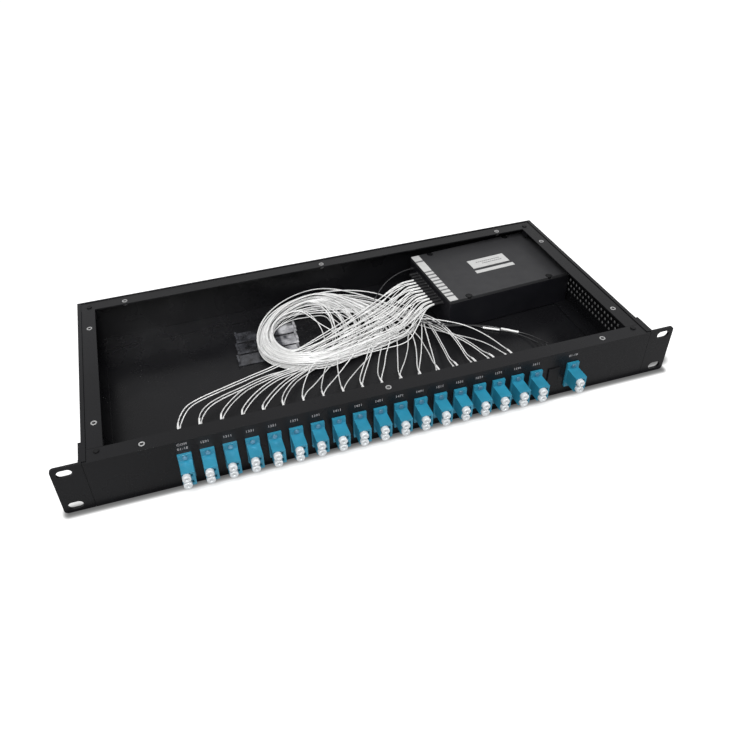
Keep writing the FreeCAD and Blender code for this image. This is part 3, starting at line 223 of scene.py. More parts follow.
def noise(tree, scale, detail=3.0, stretch=None):
    """A noise over Object coordinates, with scale in features per metre."""
    place = tree.nodes.new("ShaderNodeTexCoord")
    node = tree.nodes.new("ShaderNodeTexNoise")
    node.inputs["Scale"].default_value = scale
    node.inputs["Detail"].default_value = detail
    source = place.outputs["Object"]
    if stretch:
        mapping = tree.nodes.new("ShaderNodeMapping")
        mapping.inputs["Scale"].default_value = stretch
        tree.links.new(source, mapping.inputs["Vector"])
        source = mapping.outputs["Vector"]
    tree.links.new(source, node.inputs["Vector"])
    return node.outputs["Fac"]


def ramp(tree, source, low, high):
    """A colour from low to high as the source goes from NOISE_LOW to NOISE_HIGH."""
    node = tree.nodes.new("ShaderNodeValToRGB")
    node.color_ramp.elements[0].position = NOISE_LOW
    node.color_ramp.elements[0].color = (*low, 1)
    node.color_ramp.elements[1].position = NOISE_HIGH
    node.color_ramp.elements[1].color = (*high, 1)
    tree.links.new(source, node.inputs["Fac"])
    return node.outputs["Color"]


def spread(tree, source, low, high):
    """A number from low to high as the source goes from NOISE_LOW to NOISE_HIGH."""
    node = tree.nodes.new("ShaderNodeMapRange")
    node.inputs["From Min"].default_value = NOISE_LOW
    node.inputs["From Max"].default_value = NOISE_HIGH
    node.inputs["To Min"].default_value = low
    node.inputs["To Max"].default_value = high
    tree.links.new(source, node.inputs["Value"])
    return node.outputs["Result"]


def combined(tree, operation, first, second):
    """The outcome of one math step on two numbers."""
    node = tree.nodes.new("ShaderNodeMath")
    node.operation = operation
    tree.links.new(first, node.inputs[0])
    tree.links.new(second, node.inputs[1])
    return node.outputs[0]


def bumped(tree, principled, source, strength, distance):
    node = tree.nodes.new("ShaderNodeBump")
    node.inputs["Strength"].default_value = strength
    node.inputs["Distance"].default_value = distance
    tree.links.new(source, node.inputs["Height"])
    tree.links.new(node.outputs["Normal"], principled.inputs["Normal"])


def finish(name, colour, vary=0.12, mottle=60.0, roughness=(0.3, 0.4), grain=900.0, bump=0.1,
           depth=0.00005, stretch=None, **sockets):
    """A finish whose colour and roughness drift over the surface, with a fine grain as bump."""
    material, tree, principled = shader(name, **sockets)
    low = [value * (1 - vary) for value in colour]
    high = [min(1.0, value * (1 + vary)) for value in colour]
    drift = noise(tree, mottle, stretch=stretch)
    tree.links.new(ramp(tree, drift, low, high), principled.inputs["Base Color"])
    rub = noise(tree, mottle * 3.7, stretch=stretch)
    tree.links.new(spread(tree, rub, *roughness), principled.inputs["Roughness"])
    bumped(tree, principled, noise(tree, grain, 2.0, stretch), bump, depth)
    return material


def dress(names, material, edge=0.0):
    """Gives CAD nodes a material and, where an edge is named, a narrow rounding along their edges.
    The triangles of a flat face become one face first, so that it shades evenly."""
    for name in names:
        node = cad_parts[name]
        node.data.materials.clear()
        node.data.materials.append(material)
        if edge > 0:
            weld = node.modifiers.new("weld", "WELD")
            weld.merge_threshold = 0.000005
            flat = node.modifiers.new("whole_faces", "DECIMATE")
            flat.decimate_type = "DISSOLVE"
            flat.angle_limit = math.radians(0.5)
            bevel = node.modifiers.new("rounding", "BEVEL")
            bevel.width = edge
            bevel.segments = 2
            bevel.limit_method = "ANGLE"
            bevel.angle_limit = math.radians(40)
            bevel.use_clamp_overlap = True
            even = node.modifiers.new("even_faces", "WEIGHTED_NORMAL")
            even.weight = 100
            even.keep_sharp = True


# Meshes

def add_mesh(name, points, faces, material, body=ROOT, replaced=(), smooth=True):
    """A new piece from points in millimetres and faces, each a row of point numbers."""
    mesh = bpy.data.meshes.new(name)
    mesh.from_pydata((np.asarray(points) * MM).tolist(), [], [list(face) for face in faces])
    mesh.update()
    mesh.polygons.foreach_set("use_smooth", np.full(len(mesh.polygons), smooth))
    mesh.materials.append(material)
    piece = bpy.data.objects.new(name, mesh)
    bpy.context.scene.collection.objects.link(piece)
    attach(piece, body)
    if replaced:
        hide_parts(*replaced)
    return piece


def ring_faces(rings, count):
    """Quads between rows of points that each close on themselves."""
    row, column = np.meshgrid(np.arange(rings - 1), np.arange(count), indexing="ij")
    after = (column + 1) % count
    quads = np.stack([row * count + column, row * count + after,
                      (row + 1) * count + after, (row + 1) * count + column], axis=-1)
    return quads.reshape(-1, 4)


def capped(rows):
    """Rows of points, each a closed ring, with a fan to a middle point over both ends."""
    rings, count = rows.shape[:2]
    points = np.concatenate([rows.reshape(-1, 3), [rows[0].mean(0)], [rows[-1].mean(0)]])
    around = np.arange(count)
    after = (around + 1) % count
    first = np.stack([after, around, np.full(count, rings * count)], axis=1)
    row = (rings - 1) * count
    last = np.stack([row + around, row + after, np.full(count, rings * count + 1)], axis=1)
    return points, [*ring_faces(rings, count).tolist(), *first.tolist(), *last.tolist()]


def merged(parts):
    """Several (points, faces) pairs as one."""
    points, faces, start = [], [], 0
    for part_points, part_faces in parts:
        points.append(part_points)
        faces += [[number + start for number in face] for face in part_faces]
        start += len(part_points)
    return np.concatenate(points), faces


def turned(profile, steps):
    """A profile of (radius, depth) carried round the Y axis: x = radius cos a, z = radius sin a and
    y = depth. The profile runs from the front's middle to the back's middle."""
    radius, depth = np.array(profile, float).T
    angle = np.linspace(0, 2 * math.pi, steps, endpoint=False)
    x = radius[:, None] * np.cos(angle)
    z = radius[:, None] * np.sin(angle)
    return capped(np.stack([x, np.broadcast_to(depth[:, None], x.shape), z], axis=-1))


def rounded_block(wide, long, tall, corner, steps=6):
    """A block along Y whose ring is a rectangle with round corners, x = sx (wide / 2 - r) + r cos a
    and z = sz (tall / 2 - r) + r sin a, drawn in by the corner radius at both ends."""
    angle = np.linspace(0, 2 * math.pi, 4 * steps, endpoint=False) + math.pi / (4 * steps)
    side_x, side_z = np.sign(np.cos(angle)), np.sign(np.sin(angle))
    turn = np.linspace(0, math.pi / 2, 4)
    inset = np.concatenate([corner * (1 - np.sin(turn)), corner * (1 - np.sin(turn[::-1]))])
    along = np.concatenate([corner * (1 - np.cos(turn)), long - corner * (1 - np.cos(turn[::-1]))])
    radius = (corner - inset)[:, None]
    x = side_x * (wide / 2 - corner) + radius * np.cos(angle)
    z = side_z * (tall / 2 - corner) + radius * np.sin(angle)
    y = np.broadcast_to(along[:, None], x.shape)
    return capped(np.stack([x, y, z], axis=-1))


def moved(part, x=0.0, y=0.0, z=0.0):
    points, faces = part
    return points + np.array([x, y, z]), faces


def adapter_x(slot):
    return ADAPTER_FIRST + slot * ADAPTER_PITCH


def on_module(local):
    """Points drawn about the box's middle, at their place in the chassis."""
    local = np.asarray(local, float)
    cosine, sine = math.cos(MODULE_TURN), math.sin(MODULE_TURN)
    x = MODULE_X + cosine * local[..., 0] - sine * local[..., 1]
    y = MODULE_Y + sine * local[..., 0] + cosine * local[..., 1]
    return np.stack([x, y, local[..., 2]], axis=-1)


# Chassis

class MULTIPLEXER_OT_chassis(bpy.types.Operator):
    """Powder-coats the tray, the front panel, the ears and the blanking plug"""
    bl_idname = "multiplexer.chassis"
    bl_label = "Chassis"

    def execute(self, context):
        settings = context.scene.multiplexer_finish
        coat = finish("black_powder_coat", settings.coat, vary=0.18, mottle=9.0,
                      roughness=(0.24, 0.32), grain=1300.0, bump=0.05, Specular_IOR_Level=0.145)
        dress(["chassis_tray"], coat, settings.edge)
        front_coat = finish("front_powder_coat", settings.coat, vary=0.18, mottle=9.0,
                            roughness=(0.24, 0.32), grain=1300.0, bump=0.05,
                            Specular_IOR_Level=0.15)
        dress(["front_panel", "ear_left", "ear_right"], front_coat, settings.edge)
        moulded = finish("moulded_black", [0.006, 0.006, 0.007], mottle=90.0, roughness=(0.4, 0.5),
                         Specular_IOR_Level=0.15)
        dress(["blank_plug"], moulded, 0.0003)
        rubber = finish("soft_black", [0.008, 0.008, 0.009], mottle=120.0, roughness=(0.5, 0.65),
                        Specular_IOR_Level=0.2)
        dress(["rear_plugs"], rubber)
        return {"FINISHED"}


class MULTIPLEXER_OT_fasteners(bpy.types.Operator):
    """Gives the nuts, rivets and screws their metal"""
    bl_idname = "multiplexer.fasteners"
    bl_label = "Fasteners"

    def execute(self, context):
        zinc = finish("bright_zinc", [0.4, 0.4, 0.4], vary=0.08, mottle=300.0,
                      roughness=(0.3, 0.42), grain=2500.0, Metallic=1.0)
        dress(["cover_nuts"], zinc, 0.0002)
        oxide = finish("black_oxide", [0.005, 0.005, 0.0055], mottle=300.0, roughness=(0.35, 0.5),
                       grain=2500.0, Specular_IOR_Level=0.12)
        dress(["corner_rivets", "ear_screws", "module_screws"], oxide, 0.0003)
        blued = finish("blued_screw", [0.13, 0.27, 0.36], mottle=500.0, roughness=(0.32, 0.42),
                       Metallic=0.8)
        dress(["adapter_screws"], blued, 0.0002)
        return {"FINISHED"}


# Adapters, caps and the numbers over them

class MULTIPLEXER_OT_adapters(bpy.types.Operator):
    """Gives the duplex adapters their blue plastic"""
    bl_idname = "multiplexer.adapters"
    bl_label = "Adapters"

    def execute(self, context):
        settings = context.scene.multiplexer_finish
        plastic = finish("blue_plastic", settings.adapter, vary=0.1, mottle=70.0,
                         roughness=(0.34, 0.44), grain=1800.0, bump=0.05)
        names = [f"adapter_{number:02d}" for number in range(1, len(ADAPTER_SLOTS) + 1)]
        dress(names, plastic, 0.0003)
        return {"FINISHED"}


class MULTIPLEXER_OT_caps(bpy.types.Operator):
    """Builds the nineteen duplex dust caps"""
    bl_idname = "multiplexer.caps"
    bl_label = "Dust caps"

    def execute(self, context):
        settings = context.scene.multiplexer_finish
        plastic = finish("white_soft_plastic", settings.cap, vary=0.05, mottle=150.0,
                         roughness=(0.38, 0.5), grain=1500.0, bump=0.05)
        # One head's (radius, depth), from the dimple in its front to its stem's end in the port
        profile = [(0.02, -2.75), (0.85, -2.75), (0.95, -3.2), (1.15, -3.4), (2.6, -3.4),
                   (2.95, -3.22), (3.05, -2.9), (3.05, -0.1), (2.95, 0.0), (2.15, 0.0), (2.1, 0.3),
                   (2.1, 6.6), (1.7, 7.0), (0.02, 7.0)]
        heads = [moved(turned(profile, 24), -PORT_OFFSET, -ADAPTER_REACH, sign * PORT_RISE)
                 for sign in (-1, 1)]
        web_long = 2.2
        web = moved(rounded_block(2.4, web_long, 4.4, 0.4), -PORT_OFFSET, -ADAPTER_REACH - web_long)
        points, faces = merged([*heads, web])
        for number, slot in enumerate(ADAPTER_SLOTS, start=1):
            name = f"dust_cap_{number:02d}"
            place = np.array([adapter_x(slot), FRONT, ADAPTER_HEIGHT])
            add_mesh(f"cap_{number:02d}", points + place, faces, plastic, name, [name])
        return {"FINISHED"}


def words(entries, height):
    """Text as flat meshes in the XY plane, each (text, its middle's x, its middle's y)."""
    parts = []
    for text, x, y in entries:
        curve = bpy.data.curves.new("print", "FONT")
        curve.body = text
        curve.size = height
        curve.align_x = "CENTER"
        curve.align_y = "CENTER"
        curve.resolution_u = 2
        curve.space_character = 1.1
        curve.offset = 0.07
        holder = bpy.data.objects.new("print", curve)
        mesh = bpy.data.meshes.new_from_object(holder)
        points = np.zeros(len(mesh.vertices) * 3)
        mesh.vertices.foreach_get("co", points)
        faces = [list(face.vertices) for face in mesh.polygons]
        parts.append((points.reshape(-1, 3) + np.array([x, y, 0]), faces))
        bpy.data.objects.remove(holder)
        bpy.data.curves.remove(curve)
        bpy.data.meshes.remove(mesh)
    return merged(parts)


def flat_bars(bars, level):
    """Flat rectangles (left, front, right, back) at one level, facing up."""
    bars = np.array(bars, float)
    corners = np.stack([bars[:, [0, 1]], bars[:, [2, 1]], bars[:, [2, 3]], bars[:, [0, 3]]], axis=1)
    points = np.concatenate([corners.reshape(-1, 2), np.full((len(bars) * 4, 1), level)], axis=1)
    return points, np.arange(len(bars) * 4).reshape(-1, 4).tolist()


class MULTIPLEXER_OT_prints(bpy.types.Operator):
    """Prints a channel number over each adapter"""
    bl_idname = "multiplexer.prints"
    bl_label = "Numbers"

    def execute(self, context):
        ink = finish("grey_ink", [0.3, 0.29, 0.3], vary=0.15, mottle=900.0, roughness=(0.5, 0.6))
        first, last = adapter_x(0) - 0.2, adapter_x(ADAPTER_SLOTS[-1]) - 0.7
        entries = [(str(CHANNEL_BASE + CHANNEL_STEP * slot), adapter_x(slot) - 0.7, 37.9)
                   for slot in range(1, BLANK_SLOT)]
        entries += [("COM", first, 40.2), ("01-18", first, 36.0), ("01-18", last, 38.3)]
        flat, faces = words(entries, 3.0)
        depth = np.full(len(flat), FRONT - PANEL_INK)
        upright = np.stack([flat[:, 0], depth, flat[:, 1]], axis=1)
        add_mesh("channel_numbers", upright, faces, ink, smooth=False)
        return {"FINISHED"}


# Multiplexer box

class MULTIPLEXER_OT_module(bpy.types.Operator):
    """Finishes the multiplexer box and prints its labels"""
    bl_idname = "multiplexer.module"
    bl_label = "Multiplexer box"

    def execute(self, context):
        settings = context.scene.multiplexer_finish
        lid = finish("satin_lid", settings.case, vary=0.06, mottle=25.0, roughness=(0.5, 0.6),
                     grain=2200.0, bump=0.12, Specular_IOR_Level=0.18)
        dress(["module_lid"], lid, 0.00015)
        case = finish("satin_case", [0.006, 0.006, 0.008], vary=0.1, mottle=25.0,
                      roughness=(0.4, 0.5), grain=2200.0, Specular_IOR_Level=0.15)
        dress(["module_base"], case, 0.0003)
        paper = finish("white_polyester", [0.53, 0.53, 0.525], vary=0.04, mottle=200.0,
                       roughness=(0.35, 0.45))
        dress(["module_labels"], paper)
        rubber = finish("boot_rubber", [0.005, 0.005, 0.006], mottle=300.0, roughness=(0.45, 0.6),
                        Specular_IOR_Level=0.2)
        dress(["fanout_boots"], rubber, 0.0002)
        silica = finish("silica_chip", [0.35, 0.33, 0.3], mottle=400.0, roughness=(0.1, 0.2))
        dress(["waveguide_chip"], silica)
        ink = finish("label_ink", [0.11, 0.11, 0.115], vary=0.2, mottle=500.0, roughness=(0.5, 0.6))
        # Bars between the cells of the strip, which runs forward from its back end, and two rows of
        # dashes on the label in the lid's middle
        strip_left, strip_right, strip_back, bar = -61.5, -53.5, 40.5, 2.1
        gaps = strip_back - np.cumsum([10.6, 19.4, *[5.4] * 8])
        bars = [(strip_left, gap - bar / 2, strip_right, gap + bar / 2) for gap in gaps]
        for row_left, row_front, count in ((-9.5, 6.9, 12), (-4.5, 3.7, 10)):
            bars += [(left, row_front, left + 1.6, row_front + 1)
                     for left in row_left + 2.1 * np.arange(count)]
        points, faces = flat_bars(bars, MODULE_TOP + LABEL_INK)
        add_mesh("label_prints", on_module(points), faces, ink, smooth=False)
        return {"FINISHED"}


# Fibres

def cord_curve(name, points, diameter, material, replaced=()):
    """One open curve of order 3 whose control points are in millimetres."""
    points = np.asarray(points, float) * MM
    curve = bpy.data.curves.new(name, "CURVE")
    curve.dimensions = "3D"
    curve.bevel_depth = diameter / 2
    curve.bevel_resolution = 1
    curve.resolution_u = 5
    curve.use_fill_caps = True
    spline = curve.splines.new("NURBS")
    spline.points.add(len(points) - 1)
    weighted = np.concatenate([points, np.ones((len(points), 1))], axis=1)
    spline.points.foreach_set("co", weighted.ravel())
    spline.order_u = 3
    spline.use_endpoint_u = True
    curve.materials.append(material)
    piece = bpy.data.objects.new(name, curve)
    bpy.context.scene.collection.objects.link(piece)
    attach(piece, ROOT)
    if replaced:
        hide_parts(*replaced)
    return piece


def plug_run(slot, sign):
    """The end of a plug's boot, and the end of its fibre's straight run behind it."""
    tip = np.array([adapter_x(slot) - PORT_OFFSET, PLUG_TIP_Y, ADAPTER_HEIGHT + sign * PORT_RISE])
    return np.array([tip, tip + np.array([0, 9, -0.7 - 0.3 * sign])])


def tail_points(slot, sign):
    """A fibre's points from its plug's boot to where it joins the coil."""
    routes = TAIL_ROUTES[slot]
    at = 0 if sign > 0 else 1
    beside = BESIDE_RIGHT if slot >= FIRST_RIGHT_PAIR else BESIDE_LEFT
    shift = np.array(beside) if len(routes) == 1 and at == 1 else np.zeros(3)
    return np.concatenate([plug_run(slot, sign), np.array(routes[at % len(routes)]) + shift])


def coil_point(angle, across, height):
    """Where turns of the coil are at angles from +X. A turn goes through its right, rear, left and
    front ends, which lie at the hole's edge for across 0 and at the outside for across 1: place =
    middle + |cos a|^p (side end - middle) + |sin a|^p (rear or front end - middle). p is 0.86 at
    the front left, which is squarer, and grows to 1.5 on the right, where the outer turns are drawn
    out towards the box. z goes up with height, most at the rear, where the turns pile up, and least
    on the right, where they spread out. There they also lie in loose groups, and at the rear the
    innermost turns lie apart from the rest."""
    def mix(ends, share):
        inner, outer = np.array(ends, float)
        return inner + (outer - inner) * np.asarray(share)[..., None]

    cosine, sine = np.cos(angle), np.sin(angle)
    group, within = np.divmod(across * COIL_GROUPS, 1.0)
    grouped = (group + 0.5 + 0.45 * (within - 0.5)) / COIL_GROUPS
    middle = mix(COIL_MIDDLE, across)
    side = np.where((cosine > 0)[:, None], mix(COIL_RIGHT, grouped), mix(COIL_LEFT, across))
    pushed_back = np.where(across < COIL_APART, across,
                           0.4 + 0.6 * np.abs(across - COIL_APART) ** 0.7)
    end = np.where((sine > 0)[:, None], mix(COIL_REAR, pushed_back), mix(COIL_FRONT, across))
    power = np.where(cosine > 0, 1 + 0.5 * across, np.where(sine < 0, 0.86, 1.0))[:, None]
    place = (middle + np.abs(cosine[:, None]) ** power * (side - middle)
             + np.abs(sine[:, None]) ** power * (end - middle))
    z = 3.1 + height * (8.5 + 5.0 * np.maximum(sine, 0) - 4.5 * np.maximum(cosine, 0))
    return np.column_stack([place, z])


def coil_place(order):
    """How far across and how high a pass lies in the coil's bundle, spread evenly by the golden
    ratio and its cubic cousin."""
    return (0.5 + order * 0.6180339887) % 1.0, (0.25 + order * 0.7548776662) % 1.0


def coil_points(start, passes, leave, points_per_turn):
    """The turns from where a tail joins to where its fibre leaves for the box. Each pass of the
    left end has its own place in the bundle, and the places blend from pass to pass. The turns
    start at the angle nearest to the tail's end, and run into their own path within 1.7 radians."""
    across_at, height_at = np.array(passes).T
    knots = math.pi * (1 + 2 * np.arange(len(passes)))
    around = np.linspace(-math.pi * 0.9, math.pi * 0.9, 181)
    nearby = coil_point(around, np.full(len(around), across_at[0]), 0.5)[:, :2] - start[:2]
    first = around[np.argmin(np.linalg.norm(nearby, axis=1))]
    step = 2 * math.pi / points_per_turn
    last = knots[-1] + leave
    count = int((last - first) / step)
    angle = np.linspace(first, last, count + 1)
    across = np.interp(angle, knots, across_at)
    height = np.interp(angle, knots, height_at)
    turns = coil_point(angle, across, height)
    fade = np.clip((angle - first) / 1.7, 0, 1)
    turns += (start - turns[0]) * (1 - fade * fade * (3 - 2 * fade))[:, None]
    return turns[1:]


def lead_points(boot, member, members, stray):
    """A fibre's points from the coil up into its boot. The fibres of one boot lie round its middle,
    stray apart towards the coil, and those of the front boots sag forward."""
    turn = 2 * math.pi * (member + 0.5) / members
    across, up = math.cos(turn), math.sin(turn)
    route = np.array(LEAD_ROUTES[boot][::-1], float)
    sag = max(0.0, 1 - boot / 5) * (member + 1) / members
    route[:, 1] += across * LEAD_APART + stray * LEAD_STRAY - sag * LEAD_SAG
    route[:, 2] += up * LEAD_APART * 0.55 - sag * LEAD_DIP
    local_y = BOOT_FIRST + boot * BOOT_PITCH
    ends = on_module([(BOOT_FACE - 4, local_y + across * 0.5, BOOT_HEIGHT + up * 0.5),
                      (BOOT_FACE + 0.4, local_y + across * 0.5, BOOT_HEIGHT + up * 0.5)])
    return np.concatenate([route, ends])


def boot_sleeve(ends):
    """A sleeve over a fibre's first run. Its middle follows the run, (1 - t)^2 a + 2 t (1 - t) b +
    t^2 (b + c) / 2 for the run's three points, and its radius falls towards the far end."""
    first, bend, last = ends
    along = np.array([0, 0, 0.25, 0.5, 0.62, 0.74, 0.9, 0.9])[:, None]
    radius = np.array([0.05, 0.8, 0.8, 0.8, 0.78, 0.76, 0.72, 0.42])
    middle = ((1 - along) ** 2 * first + 2 * along * (1 - along) * bend
              + along ** 2 * (bend + last) / 2)
    ahead = 2 * (1 - along) * (bend - first) + along * (last - bend)
    ahead /= np.linalg.norm(ahead, axis=1, keepdims=True)
    side = np.cross(ahead, [0, 0, 1])
    side /= np.linalg.norm(side, axis=1, keepdims=True)
    above = np.cross(side, ahead)
    angle = np.linspace(0, 2 * math.pi, 10, endpoint=False)[None, :, None]
    rows = middle[:, None] + radius[:, None, None] * (np.cos(angle) * side[:, None]
                                                      + np.sin(angle) * above[:, None])
    return capped(rows)


class MULTIPLEXER_OT_fibres(bpy.types.Operator):
    """Runs thirty-six white fibres from the plugs round the coil and into the box's boots"""
    bl_idname = "multiplexer.fibres"
    bl_label = "White fibres"

    def execute(self, context):
        settings = context.scene.multiplexer_fibres
        # Three copies of the white buffer, the second and third darker as painted shade, so that
        # neighbouring strands stand apart
        buffers_with_painted_shade = [finish(f"white_fibre_painted_shade_{number}",
                          [share * value for value in settings.colour], vary=0.05, mottle=220.0,
                          roughness=(0.28, 0.4), grain=1500.0, bump=0.03)
                   for number, share in enumerate((1.0, 0.93, 0.82))]
        ends = [(slot, sign) for slot in range(len(TAIL_ROUTES)) for sign in (1, -1)]
        places = [[coil_place(number * settings.turns + at) for at in range(settings.turns)]
                  for number in range(len(ends))]
        # The fibres that end outside in the coil go to the front boots, with a few swaps
        boots = [boot for boot, count in enumerate(FIBRES_IN_BOOT) for _ in range(count)]
        inner_last = sorted(range(len(ends)), key=lambda number: -places[number][-1][0]
                            - 0.3 * math.sin(7 * number))
        boot_of = {number: (boots[rank], sum(boots[at] == boots[rank] for at in range(rank)))
                   for rank, number in enumerate(inner_last)}
        for number, (slot, sign) in enumerate(ends):
            tail = tail_points(slot, sign)
            boot, member = boot_of[number]
            stray = math.sin(5.3 * number)
            leave = math.radians(98 - 3.8 * boot + 9 * stray)
            coil = coil_points(tail[-1], places[number], leave, settings.points)
            lead = lead_points(boot, member, FIBRES_IN_BOOT[boot], math.cos(3.1 * number))
            between = [coil[-1] + (lead[0] - coil[-1]) * share for share in (0.35, 0.7)]
            points = np.concatenate([tail, coil, between, lead])
            replaced = ["fibre_tails", "fibre_leads", "fibre_coil"] if number == 0 else []
            piece = cord_curve(f"fibre_{number + 1:02d}", points, settings.diameter,
                               buffers_with_painted_shade[number % len(buffers_with_painted_shade)], replaced)
        points, faces = merged([boot_sleeve(tail_points(slot, sign)[:3]) for slot, sign in ends])
        add_mesh("fibre_boots", points, faces, buffers_with_painted_shade[0])
        return {"FINISHED"}


class MULTIPLEXER_OT_dark_fibres(bpy.types.Operator):
    """Runs the dark fibres, two of them through their splice sleeves"""
    bl_idname = "multiplexer.dark_fibres"
    bl_label = "Dark fibres"

    def execute(self, context):
        diameter = context.scene.multiplexer_fibres.diameter
        bare = finish("dark_fibre_buffer", [0.03, 0.03, 0.032], mottle=300.0, roughness=(0.3, 0.4))
        start = on_module([(GROMMET_FACE, GROMMET_ACROSS, BOOT_HEIGHT)])
        points = np.concatenate([start, DARK_ROUTE])
        piece = cord_curve("dark_fibre_box", points, diameter, bare, ["dark_fibres"])
        for number, sign in enumerate((-1, 1)):
            points = np.concatenate([plug_run(ADAPTER_SLOTS[-1], sign),
                                     FROM_SPLICE_ROUTES[number][::-1],
                                     TO_SPLICE_ROUTES[number][::-1]])
            piece = cord_curve(f"dark_fibre_{number + 1}", points, diameter, bare)
        sleeve = finish("white_sleeve", [0.8, 0.8, 0.79], vary=0.05, mottle=300.0,
                        roughness=(0.3, 0.4))
        dress(["splice_sleeves"], sleeve, 0.0002)
        return {"FINISHED"}


class MULTIPLEXER_OT_clips(bpy.types.Operator):
    """Gives the adhesive cable clips their milky grey plastic, with painted light towards their
    right ends
    """
    bl_idname = "multiplexer.clips"
    bl_label = "Cable clips"

    def execute(self, context):
        milky = finish("milky_clip", [0.033, 0.034, 0.039], vary=0.7, mottle=90.0,
                       roughness=(0.12, 0.3), grain=500.0, bump=0.25, Specular_IOR_Level=0.35)
        self.paint_light_into_ends(milky)
        dress(["cable_clips"], milky, 0.0003)
        return {"FINISHED"}

    def paint_light_into_ends(self, milky):
        """Mixes a pale grey in towards the clips' right ends as painted light, where light gets
        into them: the share grows with x between the two places and breaks up with a coarse noise."""
        tree = milky.node_tree
        base = tree.nodes["Principled BSDF"].inputs["Base Color"]
        dark = base.links[0].from_socket
        split = tree.nodes.new("ShaderNodeSeparateXYZ")
        tree.links.new(tree.nodes.new("ShaderNodeTexCoord").outputs["Object"], split.inputs[0])
        share = tree.nodes.new("ShaderNodeMapRange")
        share.inputs["From Min"].default_value = -0.0535
        share.inputs["From Max"].default_value = -0.0505
        tree.links.new(split.outputs["X"], share.inputs["Value"])
        patches = spread(tree, noise(tree, 110.0), 0.0, 1.0)
        painted_light_share = combined(tree, "MULTIPLY", share.outputs["Result"], patches)
        mix = tree.nodes.new("ShaderNodeMix")
        mix.data_type = "RGBA"
        mix.inputs["B"].default_value = (0.5, 0.5, 0.52, 1)
        tree.links.new(painted_light_share, mix.inputs["Factor"])
        tree.links.new(dark, mix.inputs["A"])
        tree.links.new(mix.outputs["Result"], base)


# Stage

def turned_to(right, up, back, place):
    """The matrix that turns X, Y and Z to the three directions and moves them to a place."""
    matrix = np.eye(4)
    matrix[:3, :3] = np.array([right, up, back]).T
    matrix[:3, 3] = place
    return Matrix(matrix.tolist())


